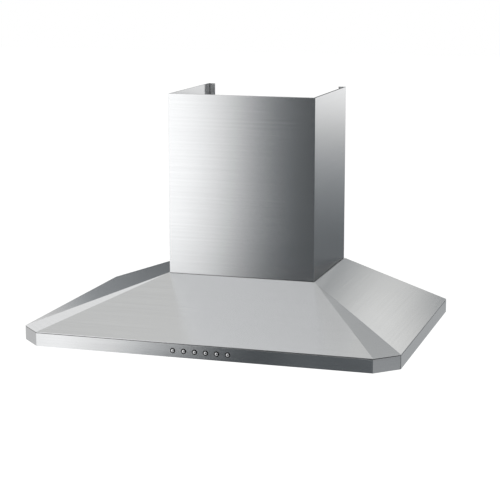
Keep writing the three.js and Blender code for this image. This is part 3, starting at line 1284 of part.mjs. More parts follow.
function placeBlower() {
  const blower = new THREE.Group();
  blower.position.set(0, FAN_AXIS_Y, FAN_AXIS_Z);
  hood.add(blower);
  place('scroll_housing_right', motorSideHalf(), BLACK_PLASTIC, blower);
  place('scroll_housing_left', capacitorSideHalf(), BLACK_PLASTIC, blower);
  place('capacitor', capacitor(), WHITE_PLASTIC, blower);
  place('impeller', impeller(), GREY_PLASTIC, blower);
  place('motor_shaft', motorShaft(), ZINC, blower);
  place('motor', motor(), MOTOR_STEEL, blower);
  place('motor_bracket', motorBracket(), GALVANISED, blower);
  const outlet = new THREE.Group();
  outlet.position.set(0, COLLAR_Y, 0);
  blower.add(outlet);
  place('outlet_collar', outletCollar(), GREY_PLASTIC, outlet);
  const right = flap();
  place('flap_right', right, GREY_PLASTIC, outlet, [FLAP_AXIS_X, 0, FLAP_Z]);
  place('flap_left', mirroredX(right), GREY_PLASTIC, outlet, [-FLAP_AXIS_X, 0, FLAP_Z]);
}

// ---------------------------------------------------------------- terminal box

const TERMINAL_MIDDLE = (TERMINAL_LEFT + TERMINAL_RIGHT) / 2;

function terminalBox() {
  const rearY = -BACK_SHEET;
  const frontY = rearY - TERMINAL_DEPTH;
  const margin = TERMINAL_RECESS_MARGIN;
  const body = roundedRectangle(
    TERMINAL_LEFT, TERMINAL_RIGHT, TERMINAL_BOTTOM, TERMINAL_TOP, TERMINAL_CORNER_R);
  const recess = block(
    TERMINAL_LEFT + margin, TERMINAL_RIGHT - margin, frontY - CUT_MARGIN, frontY + TERMINAL_RECESS_DEPTH,
    TERMINAL_BOTTOM + margin, TERMINAL_TOP - margin);
  return extruded(body, 'xz', frontY, rearY, 2).subtract(recess);
}

function cableGland() {
  const z = TERMINAL_TOP;
  const [collarTop, nutTop, tipTop] = GLAND_HEIGHTS.map((height) => z + height);
  const gland = turned([
    [GLAND_BORE_R, z], [GLAND_COLLAR_R, z], [GLAND_COLLAR_R, collarTop], [GLAND_NUT_R, collarTop],
    [GLAND_NUT_R, nutTop], [GLAND_TIP_R, tipTop], [GLAND_BORE_R, tipTop], [GLAND_BORE_R, z],
  ], 'z', NUT_SIDES);
  return moved(gland, TERMINAL_MIDDLE, -BACK_SHEET - TERMINAL_DEPTH / 2, 0);
}

// ---------------------------------------------------------------- assembly

place('canopy_shell', canopyShell(), STEEL);
place('front_fascia', frontFascia(), STEEL);
place('side_rail_left', sideRail(-1), STEEL);
place('side_rail_right', sideRail(1), STEEL);
place('back_plate', backPlate(), GALVANISED);
place('underside_panel', undersidePanel(), STEEL);
place('lower_chimney', lowerCover(), CHIMNEY_STEEL);
place('upper_chimney', upperCover(), CHIMNEY_STEEL);
place('chimney_bracket', wallBracket(), GALVANISED);
place('switch_block', switchBlock(), BLACK_PLASTIC);
place('control_box', controlBoxBase(), WHITE_PLASTIC);
place('control_box_lid', controlBoxLid(), WHITE_PLASTIC);
place('terminal_box', terminalBox(), WHITE_PLASTIC);
place('cable_gland', cableGland(), BLACK_PLASTIC);
placeButtons();
placeFilters();
placeLamps();
placeBlower();

armScrewPlaces().forEach(([x, y], i) => {
  place(`blower_screw_${i + 1}`, panScrew(ARM_THICKNESS + SCREW_TIP), ZINC, hood,
    [x, y, CANOPY_HEIGHT + ARM_THICKNESS]);
});
panelScrewPlaces().forEach(([x, y], i) => {
  const screw = turnedAbout(panScrew(PANEL_SHEET + SHEET + SCREW_TIP), 'x', 180);
  place(`panel_screw_${i + 1}`, screw, ZINC, hood, [x, y, SKIRT_BOTTOM]);
});
for (const [side, name] of [[-1, 'left'], [1, 'right']]) {
  const screw = turnedAbout(flatScrew(SHEET + BRACKET_SHEET + SCREW_TIP), 'y', side * 90);
  place(`bracket_screw_${name}`, screw, ZINC, hood, [side * UPPER_HALF, BRACKET_SCREW_Y, BRACKET_SCREW_Z]);
}

export default hood;
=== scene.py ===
"""A wall-mounted chimney range hood in brushed stainless steel, shown in a plain white studio.

Lengths are in metres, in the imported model's frame: x to the right, y into the wall, z up.
"""

import math

import bmesh
import bpy
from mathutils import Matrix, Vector


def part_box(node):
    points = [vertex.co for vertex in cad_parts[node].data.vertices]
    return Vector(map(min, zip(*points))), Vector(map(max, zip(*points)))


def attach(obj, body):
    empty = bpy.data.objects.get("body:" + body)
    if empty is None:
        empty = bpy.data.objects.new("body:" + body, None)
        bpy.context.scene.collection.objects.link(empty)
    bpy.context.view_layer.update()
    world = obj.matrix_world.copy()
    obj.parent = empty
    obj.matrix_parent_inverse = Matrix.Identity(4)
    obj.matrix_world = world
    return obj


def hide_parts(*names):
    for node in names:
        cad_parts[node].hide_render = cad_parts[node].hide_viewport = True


# ---------------------------------------------------------------- camera

CAMERA_PLACE = (0.8439, -2.9126, 0.7040)
CAMERA_YAW = math.radians(17.148)
CAMERA_PITCH = math.radians(11.199)
CAMERA_LENS = 109.76
CAMERA_SENSOR = 36.0

# ---------------------------------------------------------------- stage

FLOOR_Z = -1.6
FLOOR_HALF = 30.0
FLOOR_COLOUR = (0.55, 0.55, 0.55, 1)
FLOOR_GLOW = 0.75
# the share of the floor's glow that reflections show, and the places across between which it changes
REFLECTED_GLOW = (0.55, 0.05)
REFLECTED_GLOW_X = (-1.6, 1.6)
AMBIENT = 0.55
# the surround that reflections show: towards where it is bright, its range of brightness, and the cosines
# to that direction between which it changes
BRIGHT_SIDE = (-0.77, -0.15, 0.62)
REFLECTED_WORLD = (0.45, 1.05)
REFLECTED_WORLD_COSINES = (-0.8, 0.8)
# what the lights point at, and each light's place, size and power in watts
LIGHT_TARGET = (0, -0.24, 0.2)
KEY_LIGHT = {"place": (-2.2, -2.2, 2.6), "size": (1.8, 1.8), "power": 55}
FILL_LIGHT = {"place": (2.6, -1.4, 1.8), "size": (1.6, 1.6), "power": 22}

# ---------------------------------------------------------------- finishes

STEEL_COLOUR = (0.736, 0.743, 0.750, 1)
# how far the hairline moves the steel's roughness up and down
STEEL_SPREAD = 0.02
CHROME_COLOUR = (0.72, 0.72, 0.73, 1)
# how fast the brushing varies along it and across it, and its detail
HAIRLINE = (9.0, 2600.0, 3.0)
STREAKS = (2.2, 260.0, 2.0)
# a little of any direction, so that brushing has one on level faces too
LEVEL_LEAN = (0.001, 0, 0)
# the parts of a noise's range that brushing, fine textures, patches and strong patches use
BRUSHING = (0.35, 0.65)
FINE = (0.3, 0.7)
PATCHES = (0.35, 0.7)
STRONG_PATCHES = (0.4, 0.75)
# how open a place is where the painted shade of a seam is darkest, and where it ends
PAINTED_SHADE_OPENNESS = (0.45, 0.85)
SEAM_REACH = 0.003
SEAM_SAMPLES = 6
# how far the rounded normal turns from the straight one where an edge is worn most, as 1 less the cosine
WORN_TURN = 0.25
WORN_SAMPLES = 4

SHEET_EDGE = 0.0004
SEAM_EDGE = 0.00015
EDGE_SEGMENTS = 2
WELD_DISTANCE = 0.00001
MERGE_DISTANCE = 0.000002
FLAT_ANGLE = math.radians(0.5)
BEVEL_ANGLE = math.radians(50)
SMOOTH_ANGLE = math.radians(40)

# the places of a colour Mix node's factor and colours among its inputs, and of its colour among its outputs
MIX_INPUTS = (0, 6, 7)
MIX_OUTPUT = 2


# ================================================================ node helpers


def add(tree, kind, inputs=None, **settings):
    """A shader node with its settings, and with each input set to a value or linked to an output."""
    made = tree.nodes.new(kind)
    for name, value in settings.items():
        setattr(made, name, value)
    for name, value in (inputs or {}).items():
        fill(tree, made.inputs[name], value)
    return made


def fill(tree, socket, value):
    """Links a node's output to the socket, or sets the socket to a plain value."""
    if isinstance(value, bpy.types.NodeSocket):
        tree.links.new(value, socket)
    else:
        socket.default_value = value


def maths(tree, operation, first, second=0.0):
    return add(tree, "ShaderNodeMath", {0: first, 1: second}, operation=operation).outputs[0]


def vector_maths(tree, operation, first, second=(0, 0, 0)):
    made = add(tree, "ShaderNodeVectorMath", {0: first, 1: second}, operation=operation)
    return made.outputs["Value" if operation == "DOT_PRODUCT" else "Vector"]


def remapped(tree, value, low, high, to_low, to_high):
    """The value's range from low to high stretched to another, and held at its ends."""
    inputs = {"Value": value, "From Min": low, "From Max": high, "To Min": to_low, "To Max": to_high}
    return add(tree, "ShaderNodeMapRange", inputs).outputs["Result"]


def share_of(tree, value, start, end):
    """How far a value is on its way from the start, 0, to the end, 1."""
    return remapped(tree, value, start, end, 0.0, 1.0)


def noise(tree, place, scale, detail, roughness=0.5):
    inputs = {"Vector": place, "Scale": scale, "Detail": detail, "Roughness": roughness}
    return add(tree, "ShaderNodeTexNoise", inputs).outputs["Fac"]


def mixed(tree, factor, first, second):
    """A colour from the first to the second as the factor goes from 0 to 1."""
    made = add(tree, "ShaderNodeMix", data_type="RGBA")
    for index, value in zip(MIX_INPUTS, (factor, first, second)):
        fill(tree, made.inputs[index], value)
    return made.outputs[MIX_OUTPUT]


def ramp(tree, factor, stops):
    """A colour ramp through grey stops, each a place from 0 to 1 and a brightness."""
    made = add(tree, "ShaderNodeValToRGB", {"Fac": factor})
    elements = made.color_ramp.elements
    while len(elements) < len(stops):
        elements.new(stops[-1][0])
    for element, (place, brightness) in zip(elements, stops):
        element.position = place
        element.color = (brightness, brightness, brightness, 1)
    return made.outputs["Color"]


def empty_material(name):
    material = bpy.data.materials.new(name)
    material.use_nodes = True
    material.node_tree.nodes.clear()
    return material, material.node_tree


def output_surface(tree, shader):
    add(tree, "ShaderNodeOutputMaterial", {"Surface": shader})


def output_principled(tree, inputs):
    output_surface(tree, add(tree, "ShaderNodeBsdfPrincipled", inputs).outputs["BSDF"])


def bumped(tree, height, strength, distance):
    inputs = {"Height": height, "Strength": strength, "Distance": distance}
    return add(tree, "ShaderNodeBump", inputs).outputs["Normal"]


def object_place(tree):
    return add(tree, "ShaderNodeTexCoord").outputs["Object"]


def in_the_open(tree):
    """1 in the open, falling to 0 deep in seams and slots; it places the steel's painted seam shade."""
    openness = add(tree, "ShaderNodeAmbientOcclusion", {"Distance": SEAM_REACH}, samples=SEAM_SAMPLES)
    return share_of(tree, openness.outputs["AO"], *PAINTED_SHADE_OPENNESS)


def worn_edges(tree, radius, strength):
    """0 on flat areas, rising to the strength along sharp edges."""
    rounder = add(tree, "ShaderNodeBevel", {"Radius": radius}, samples=WORN_SAMPLES)
    straight = add(tree, "ShaderNodeNewGeometry")
    turned = vector_maths(tree, "DOT_PRODUCT", rounder.outputs["Normal"], straight.outputs["Normal"])
    return maths(tree, "MULTIPLY", share_of(tree, turned, 1.0, 1.0 - WORN_TURN), strength)


# ================================================================ materials


def shaded(colour, share):
    """The colour made darker or brighter, up to white."""
    return tuple(min(1, share * part) for part in colour[:3]) + (1,)


def grain_axes(tree):
    """The direction across the level brushing, which blurs reflections, and places along and across it."""
    coordinates = add(tree, "ShaderNodeTexCoord")
    normal, place = coordinates.outputs["Normal"], coordinates.outputs["Object"]
    level = vector_maths(tree, "CROSS_PRODUCT", (0, 0, 1), normal)
    along = vector_maths(tree, "NORMALIZE", vector_maths(tree, "ADD", level, LEVEL_LEAN))
    across = vector_maths(tree, "CROSS_PRODUCT", normal, along)
    place_along = vector_maths(tree, "DOT_PRODUCT", place, along)
    place_across = vector_maths(tree, "DOT_PRODUCT", place, across)
    turned = add(tree, "ShaderNodeVectorTransform", {"Vector": across}, vector_type="VECTOR",
                 convert_from="OBJECT", convert_to="WORLD")
    return turned.outputs["Vector"], place_along, place_across


def grain_noise(tree, place_along, place_across, along_scale, across_scale, detail):
    """Noise stretched along the brushing."""
    stretched = add(tree, "ShaderNodeCombineXYZ", {
        "X": maths(tree, "MULTIPLY", place_along, along_scale),
        "Y": maths(tree, "MULTIPLY", place_across, across_scale),
    }).outputs["Vector"]
    return noise(tree, stretched, scale=1.0, detail=detail)


def brushed_steel(name, rough=0.18):
    """Stainless steel with a level hairline finish, faint smudges, brighter worn edges and painted shade in
    its seams.
    """
    material, tree = empty_material(name)
    tangent, place_along, place_across = grain_axes(tree)
    hairline = grain_noise(tree, place_along, place_across, *HAIRLINE)
    streaks = grain_noise(tree, place_along, place_across, *STREAKS)
    smudges = noise(tree, object_place(tree), scale=7.0, detail=4.0, roughness=0.6)
    roughness = maths(tree, "ADD",
                      remapped(tree, hairline, *FINE, rough - STEEL_SPREAD, rough + STEEL_SPREAD),
                      remapped(tree, smudges, *STRONG_PATCHES, -0.004, 0.008))
    lines = maths(tree, "ADD", maths(tree, "MULTIPLY", hairline, 0.5),
                  maths(tree, "MULTIPLY", streaks, 0.5))
    dark_line, bright_line = shaded(STEEL_COLOUR, 0.955), shaded(STEEL_COLOUR, 1.02)
    # the near-black share of the steel is painted shade for its seams
    worn, painted_seam_shade = shaded(STEEL_COLOUR, 1.05), shaded(STEEL_COLOUR, 0.12)
    tone = mixed(tree, share_of(tree, lines, *BRUSHING), dark_line, bright_line)
    tone = mixed(tree, worn_edges(tree, radius=0.0005, strength=0.4), tone, worn)
    # painted shade: the steel darkens deep in seams and slots, where shade falls
    tone = mixed(tree, in_the_open(tree), painted_seam_shade, tone)
    output_principled(tree, {
        "Base Color": tone,
        "Metallic": 1.0,
        "Roughness": roughness,
        "Anisotropic": 0.85,
        "Tangent": tangent,
        "Normal": bumped(tree, hairline, strength=0.03, distance=0.00005),
    })
    return material


def polished_chrome(name):
    """Bright plated metal with fine polishing marks and a few finger smudges."""
    material, tree = empty_material(name)
    marks = noise(tree, object_place(tree), scale=900.0, detail=3.0)
    smudges = noise(tree, object_place(tree), scale=60.0, detail=3.0)
    output_principled(tree, {
        "Base Color": mixed(tree, marks, CHROME_COLOUR, shaded(CHROME_COLOUR, 0.92)),
        "Metallic": 1.0,
        "Roughness": remapped(tree, smudges, *PATCHES, 0.10, 0.22),
        "Normal": bumped(tree, marks, strength=0.05, distance=0.00003),
    })
    return material


def galvanised_steel(name):
    """Zinc-coated sheet: crystal spangles that differ in tone and gloss, with white bloom."""
    material, tree = empty_material(name)
    place = object_place(tree)
    wobble = noise(tree, place, scale=120.0, detail=2.0)
    shifted = vector_maths(tree, "ADD", place, add(tree, "ShaderNodeCombineXYZ", {
        "X": maths(tree, "MULTIPLY", wobble, 0.006),
        "Y": maths(tree, "MULTIPLY", wobble, -0.004),
        "Z": maths(tree, "MULTIPLY", wobble, 0.005),
    }).outputs["Vector"])
    spangle = add(tree, "ShaderNodeTexVoronoi", {"Vector": shifted, "Scale": 95.0}, feature="F1")
    crystal = add(tree, "ShaderNodeSeparateColor", {"Color": spangle.outputs["Color"]}).outputs["Red"]
    bloom = noise(tree, place, scale=14.0, detail=5.0, roughness=0.65)
    dark_crystal, pale_crystal, white = (0.42, 0.43, 0.44, 1), (0.58, 0.59, 0.60, 1), (0.68, 0.68, 0.68, 1)
    tone = mixed(tree, crystal, dark_crystal, pale_crystal)
    tone = mixed(tree, remapped(tree, bloom, 0.5, 0.8, 0.0, 0.6), tone, white)
    output_principled(tree, {
        "Base Color": tone,
        "Metallic": 0.9,
        "Roughness": maths(tree, "ADD", remapped(tree, crystal, 0.0, 1.0, 0.34, 0.50),
                           remapped(tree, bloom, 0.45, 0.8, 0.0, 0.15)),
        "Normal": bumped(tree, crystal, strength=0.12, distance=0.0001),
    })
    return material


def plated_screws(name):
    """Zinc-plated screws, a little dull, with a warm cast in places."""
    material, tree = empty_material(name)
    patches = noise(tree, object_place(tree), scale=420.0, detail=3.0)
    output_principled(tree, {
        "Base Color": mixed(tree, patches, (0.50, 0.49, 0.46, 1), (0.66, 0.66, 0.66, 1)),
        "Metallic": 1.0,
        "Roughness": remapped(tree, patches, *FINE, 0.24, 0.42),
        "Normal": bumped(tree, patches, strength=0.1, distance=0.00005),
    })
    return material


def satin_aluminium(name, colour=(0.66, 0.66, 0.67, 1), rough=0.34):
    """Rolled aluminium with a fine satin texture and slight oxide patches."""
    material, tree = empty_material(name)
    place = object_place(tree)
    fine = noise(tree, place, scale=700.0, detail=3.0)
    patches = noise(tree, place, scale=22.0, detail=4.0, roughness=0.6)
    output_principled(tree, {
        "Base Color": mixed(tree, share_of(tree, patches, *PATCHES), colour, shaded(colour, 0.86)),
        "Metallic": 1.0,
        "Roughness": maths(tree, "ADD", remapped(tree, fine, *FINE, rough - 0.05, rough + 0.06),
                           remapped(tree, patches, 0.4, 0.7, 0.0, 0.06)),
        "Normal": bumped(tree, fine, strength=0.15, distance=0.00005),
    })
    return material


def moulded_plastic(name, colour, worn, rough, grain=0.00006, shine=0.5):
    """Moulded plastic: a spark-eroded texture, faint flow marks and rubbed edges."""
    material, tree = empty_material(name)
    place = object_place(tree)
    texture = noise(tree, place, scale=1500.0, detail=2.0)
    flow = noise(tree, place, scale=30.0, detail=3.0)
    tone = mixed(tree, remapped(tree, flow, *PATCHES, 0.0, 0.35), colour, worn)
    tone = mixed(tree, worn_edges(tree, radius=0.0008, strength=0.7), tone, worn)
    output_principled(tree, {
        "Base Color": tone,
        "Roughness": maths(tree, "ADD", remapped(tree, texture, *FINE, rough - 0.05, rough + 0.05),
                           remapped(tree, flow, *PATCHES, -0.03, 0.04)),
        "Specular IOR Level": shine,
        "Normal": bumped(tree, texture, strength=0.25, distance=grain),
    })
    return material


def frosted_glass(name):
    """A pressed glass lamp lens, frosted inside, with fine stippling."""
    material, tree = empty_material(name)
    place = object_place(tree)
    stipple = add(tree, "ShaderNodeTexVoronoi", {"Vector": place, "Scale": 420.0}).outputs["Distance"]
    haze = noise(tree, place, scale=60.0, detail=3.0)
    output_principled(tree, {
        "Base Color": mixed(tree, haze, (0.86, 0.88, 0.88, 1), (0.94, 0.95, 0.95, 1)),
        "Roughness": remapped(tree, haze, *FINE, 0.26, 0.40),
        "IOR": 1.5,
        "Transmission Weight": 0.55,
        "Normal": bumped(tree, stipple, strength=0.35, distance=0.0004),
    })
    return material


def baked_paint(name):
    """Grey baked motor paint with an orange-peel surface and rubbed edges."""
    material, tree = empty_material(name)
    place = object_place(tree)
    peel = noise(tree, place, scale=380.0, detail=2.0)
    dust = noise(tree, place, scale=40.0, detail=4.0)
    clean, dusty, bare = (0.13, 0.14, 0.15, 1), (0.20, 0.20, 0.20, 1), (0.34, 0.34, 0.34, 1)
    tone = mixed(tree, share_of(tree, dust, *STRONG_PATCHES), clean, dusty)
    tone = mixed(tree, worn_edges(tree, radius=0.001, strength=0.6), tone, bare)
    output_principled(tree, {
        "Base Color": tone,
        "Roughness": remapped(tree, peel, *FINE, 0.36, 0.48),
        "Normal": bumped(tree, peel, strength=0.2, distance=0.0001),
    })
    return material


def make_materials():
    """One material for each slot of the record, and ones for the lip's trim and the buttons' rings."""
    return {
        "canopy_steel": brushed_steel("brushed steel, canopy"),
        "chimney_steel": brushed_steel("brushed steel, chimney"),
        "trim_steel": brushed_steel("brushed steel, trim", rough=0.12),
        "button_chrome": polished_chrome("button chrome"),
        "button_ring": moulded_plastic("button ring", (0.003, 0.003, 0.003, 1), (0.010, 0.010, 0.011, 1),
                                       0.45, shine=0.15),
        "lamp_chrome": polished_chrome("lamp chrome"),
        "galvanised_steel": galvanised_steel("galvanised steel"),
        "zinc_screws": plated_screws("zinc-plated screws"),
        "filter_aluminium": satin_aluminium("filter aluminium"),
        "can_aluminium": satin_aluminium("can aluminium", (0.58, 0.58, 0.59, 1), 0.30),
        "black_plastic": moulded_plastic("black plastic", (0.010, 0.010, 0.011, 1), (0.05, 0.05, 0.05, 1),
                                         0.34),
        "housing_plastic": moulded_plastic("housing plastic", (0.030, 0.031, 0.033, 1),
                                           (0.09, 0.09, 0.09, 1), 0.46, grain=0.0001),
        "grey_plastic": moulded_plastic("grey plastic", (0.20, 0.21, 0.22, 1), (0.30, 0.31, 0.32, 1), 0.42),
        "white_plastic": moulded_plastic("white plastic", (0.70, 0.70, 0.68, 1), (0.78, 0.78, 0.77, 1),
                                         0.40),
        "lamp_glass": frosted_glass("lamp glass"),
        "motor_paint": baked_paint("motor paint"),
    }


# ================================================================ edges and smoothing


def smoothing_group(angle):
    """A geometry node group that shades faces smoothly, except across edges sharper than the angle."""
    group = bpy.data.node_groups.new("smooth up to an angle", "GeometryNodeTree")
    group.interface.new_socket("Geometry", in_out="INPUT", socket_type="NodeSocketGeometry")
    group.interface.new_socket("Geometry", in_out="OUTPUT", socket_type="NodeSocketGeometry")
    start = group.nodes.new("NodeGroupInput")
    end = group.nodes.new("NodeGroupOutput")
    faces = group.nodes.new("GeometryNodeSetShadeSmooth")
    faces.domain = "FACE"
    edges = group.nodes.new("GeometryNodeSetShadeSmooth")
    edges.domain = "EDGE"
    edges.inputs["Shade Smooth"].default_value = False
    bend = group.nodes.new("GeometryNodeInputMeshEdgeAngle")
    sharp = group.nodes.new("FunctionNodeCompare")
    sharp.operation = "GREATER_THAN"
    sharp.inputs[1].default_value = angle
    group.links.new(start.outputs[0], faces.inputs["Geometry"])
    group.links.new(faces.outputs[0], edges.inputs["Geometry"])
    group.links.new(bend.outputs[0], sharp.inputs[0])
    group.links.new(sharp.outputs[0], edges.inputs["Selection"])
    group.links.new(edges.outputs[0], end.inputs[0])
    return group


def shade_smoothly(piece, smoothing):
    """Shades a piece's round faces smoothly and keeps its sharp edges."""
    smooth = piece.modifiers.new("smooth", "NODES")
    smooth.node_group = smoothing
    weighted = piece.modifiers.new("weighted", "WEIGHTED_NORMAL")
    weighted.keep_sharp = True


def join_triangles(piece):
    """Joins a node's packed triangles into its flat faces."""
    weld = piece.modifiers.new("weld", "WELD")
    weld.merge_threshold = WELD_DISTANCE
    flats = piece.modifiers.new("flats", "DECIMATE")
    flats.decimate_type = "DISSOLVE"
    flats.angle_limit = FLAT_ANGLE


def round_edges(piece, radius):
    edge = piece.modifiers.new("edge", "BEVEL")
    edge.width = radius
    edge.segments = EDGE_SEGMENTS
    edge.limit_method = "ANGLE"
    edge.angle_limit = BEVEL_ANGLE
    edge.use_clamp_overlap = True


# ================================================================ piece builders


def placed(name, data):
    """A new object in the scene."""
    made = bpy.data.objects.new(name, data)
    bpy.context.scene.collection.objects.link(made)
    return made


def piece_from(name, mesh_parts, body, material, stands_for, smoothing=None):
    """A piece of points and faces that moves with a body, fills a slot and stands for a CAD node."""
    points, faces = mesh_parts
    mesh = bpy.data.meshes.new(name)
    mesh.from_pydata(points, [], faces)
    shape = bmesh.new()
    shape.from_mesh(mesh)
    bmesh.ops.remove_doubles(shape, verts=shape.verts, dist=MERGE_DISTANCE)
    bmesh.ops.recalc_face_normals(shape, faces=shape.faces)
    shape.to_mesh(mesh)
    shape.free()
    made = placed(name, mesh)
    mesh.materials.append(material)
    if smoothing:
        shade_smoothly(made, smoothing)
    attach(made, body)
    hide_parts(stands_for)


def axis_centre(low, high, axis):
    """The middle of a box, but 0 along the axis, where a turned profile gives its own places."""
    return tuple(0 if name == axis else (getattr(low, name) + getattr(high, name)) / 2 for name in "xyz")


def turned_mesh(profile, axis, centre, sides, closed=False):
    """Points and faces of a profile turned about an axis through a centre.

    A profile point is (radius, distance along the axis); a radius can be a function of the angle.
    A closed profile joins its last point to its first; an open one starts and ends on the axis.
    """
    points = []
    for radius, along in profile:
        for side in range(sides):
            angle = 2 * math.pi * side / sides
            reach = radius(angle) if callable(radius) else radius
            across, up = reach * math.cos(angle), reach * math.sin(angle)
            local = {"y": (up, along, across), "z": (across, up, along)}[axis]
            points.append(tuple(c + p for c, p in zip(centre, local)))
    rows = len(profile)
    faces = []
    for row in range(rows if closed else rows - 1):
        near, far = row * sides, (row + 1) % rows * sides
        for side in range(sides):
            after = (side + 1) % sides
            faces.append((near + side, near + after, far + after, far + side))
    return points, faces


ARC_STEPS = 3
# the largest share of a profile's side that an arc takes
ARC_SHARE = 0.45


def rounded(profile, radius):
    """The profile with its inner corners rounded by arcs of about the radius."""
    smooth = [profile[0]]
    for before, corner, after in zip(profile, profile[1:], profile[2:]):
        corner = Vector(corner)
        sides = [Vector(other) - corner for other in (before, after)]
        start, end = [corner + side.normalized() * min(radius, side.length * ARC_SHARE) for side in sides]
        for step in range(ARC_STEPS + 1):
            share = step / ARC_STEPS
            smooth.append(tuple(start.lerp(corner, share).lerp(corner.lerp(end, share), share)))
    return smooth + [profile[-1]]


# ================================================================ camera, world and floor


def aim(piece, direction):
    """Turns a camera or a light to look in a direction."""
    piece.rotation_mode = "QUATERNION"
    piece.rotation_quaternion = direction.to_track_quat("-Z", "Y")


def make_camera():
    data = bpy.data.cameras.new("camera")
    data.lens = CAMERA_LENS
    data.sensor_width = CAMERA_SENSOR
    camera = placed("camera", data)
    camera.location = CAMERA_PLACE
    aim(camera, Vector((
        -math.sin(CAMERA_YAW) * math.cos(CAMERA_PITCH),
        math.cos(CAMERA_YAW) * math.cos(CAMERA_PITCH),
        -math.sin(CAMERA_PITCH),
    )))
    bpy.context.scene.camera = camera


def shown_directly(tree):
    """1 for camera and transmission rays, and 0 for the rays that light the object or that it reflects."""
    ray = add(tree, "ShaderNodeLightPath")
    return maths(tree, "MAXIMUM", ray.outputs["Is Camera Ray"], ray.outputs["Is Transmission Ray"])


def make_world():
    """A white surround. It lights the object evenly; reflections show it brighter at the upper left."""
    world = bpy.data.worlds.new("studio")
    bpy.context.scene.world = world
    world.use_nodes = True
    tree = world.node_tree
    tree.nodes.clear()
    direction = add(tree, "ShaderNodeTexCoord").outputs["Generated"]
    towards = vector_maths(tree, "DOT_PRODUCT", direction, BRIGHT_SIDE)
    reflected = remapped(tree, towards, *REFLECTED_WORLD_COSINES, *REFLECTED_WORLD)
    glossy = add(tree, "ShaderNodeLightPath").outputs["Is Glossy Ray"]
    indirect = maths(tree, "ADD", AMBIENT, maths(tree, "MULTIPLY", glossy,
                                                 maths(tree, "SUBTRACT", reflected, AMBIENT)))
    strength = maths(tree, "MAXIMUM", indirect, shown_directly(tree))
    background = add(tree, "ShaderNodeBackground", {"Color": (1, 1, 1, 1), "Strength": strength})
    add(tree, "ShaderNodeOutputWorld", {"Surface": background.outputs["Background"]})


def plane(name, corners):
    """A stage plane through four corners."""
    mesh = bpy.data.meshes.new(name)
    mesh.from_pydata(corners, [], [(0, 1, 2, 3)])
    made = placed(name, mesh)
    return made


def make_floor():
    """A pale floor at a hood's usual height below it, which takes the shadow.

    It shows from above only, and reflections show it dimmer, so that the steel keeps its tone from below.
    """
    half = FLOOR_HALF
    floor = plane("floor", [(-half, -half, FLOOR_Z), (half, -half, FLOOR_Z), (half, half, FLOOR_Z),
                            (-half, half, FLOOR_Z)])
    material, tree = empty_material("floor")
    matt = add(tree, "ShaderNodeBsdfDiffuse", {"Color": FLOOR_COLOUR}).outputs[0]
    glossy = add(tree, "ShaderNodeLightPath").outputs["Is Glossy Ray"]
    across = add(tree, "ShaderNodeSeparateXYZ", {"Vector": object_place(tree)}).outputs["X"]
    reflected = remapped(tree, across, *REFLECTED_GLOW_X, *REFLECTED_GLOW)
    seen = maths(tree, "MAXIMUM", shown_directly(tree), maths(tree, "MULTIPLY", glossy, reflected))
    glow_strength = maths(tree, "MULTIPLY", seen, FLOOR_GLOW)
    glow = add(tree, "ShaderNodeEmission", {"Strength": glow_strength}).outputs[0]
    upper = add(tree, "ShaderNodeAddShader", {0: matt, 1: glow}).outputs[0]
    lower = add(tree, "ShaderNodeBsdfTransparent").outputs[0]
    back = add(tree, "ShaderNodeNewGeometry").outputs["Backfacing"]
    output_surface(tree, add(tree, "ShaderNodeMixShader", {0: back, 1: upper, 2: lower}).outputs[0])
    floor.data.materials.append(material)


# ================================================================ cards

FRONT_CARD_Y = -3.4
BACK_CARD_Y = 2.6
# cards that overlap at the back stand this far apart
CARD_STEP = 0.02
LEFT_CARD_X = -3.4
RIGHT_CARD_X = 3.0

COOL_TINT = (0.90, 1.0, 1.08, 1)
WARM_TINT = (1.0, 1.0, 0.985, 1)
NEUTRAL_TINT = (1.0, 1.0, 1.0, 1)
# the tones from which a card's cool tint gives way to its own
TINT_TONES = (0.05, 0.55)


def tone_ends(tones):
    """The first and the last place in a row of (place, brightness) points."""
    return tones[0][0], tones[-1][0]


def tone_along(tree, value, tones):
    """The brightness at a place along a row of (place, brightness) points."""
    low, high = tone_ends(tones)
    top = max(brightness for _, brightness in tones)
    stops = [((place - low) / (high - low), brightness / top) for place, brightness in tones]
    return maths(tree, "MULTIPLY", ramp(tree, share_of(tree, value, low, high), stops), top)


def window(tree, value, start, full, fade, end):
    """1 from full to fade, falling to 0 at start and at end."""
    rise = share_of(tree, value, start, full)
    fall = remapped(tree, value, fade, end, 1.0, 0.0)
    return maths(tree, "MULTIPLY", rise, fall)


def window_ends(places):
    """Where a window starts and ends."""
    return places[0], places[-1]


def card(name, corners, paint, tint=NEUTRAL_TINT):
    """A card that only reflections show. paint(tree, x, y, z) gives its tone and its opacity.

    Dark tones lean to the cool tint, and bright ones to the card's own.
    """
    made = plane(name, corners)
    material, tree = empty_material(name)
    place = add(tree, "ShaderNodeSeparateXYZ", {"Vector": object_place(tree)}).outputs
    tone, opacity = paint(tree, place["X"], place["Y"], place["Z"])
    colour = mixed(tree, share_of(tree, tone, *TINT_TONES), COOL_TINT, tint)
    glow = add(tree, "ShaderNodeEmission", {"Color": colour, "Strength": tone}).outputs[0]
    clear = add(tree, "ShaderNodeBsdfTransparent").outputs[0]
    output_surface(tree, add(tree, "ShaderNodeMixShader", {0: opacity, 1: clear, 2: glow}).outputs[0])
    made.data.materials.append(material)
    made.visible_camera = False
    made.visible_diffuse = False
    made.visible_shadow = False
    made.visible_transmission = False


def facing(across, up, y):
    """The corners of an upright card in front of the hood or behind it, from its ends in x and in z."""
    (left, right), (foot, top) = across, up
    return [(left, y, foot), (right, y, foot), (right, y, top), (left, y, top)]


def beside(along, up, x):
    """The corners of an upright card to the left or right of the hood, from its ends in y and in z."""
    (near, far), (foot, top) = along, up
    return [(x, near, foot), (x, far, foot), (x, far, top), (x, near, top)]


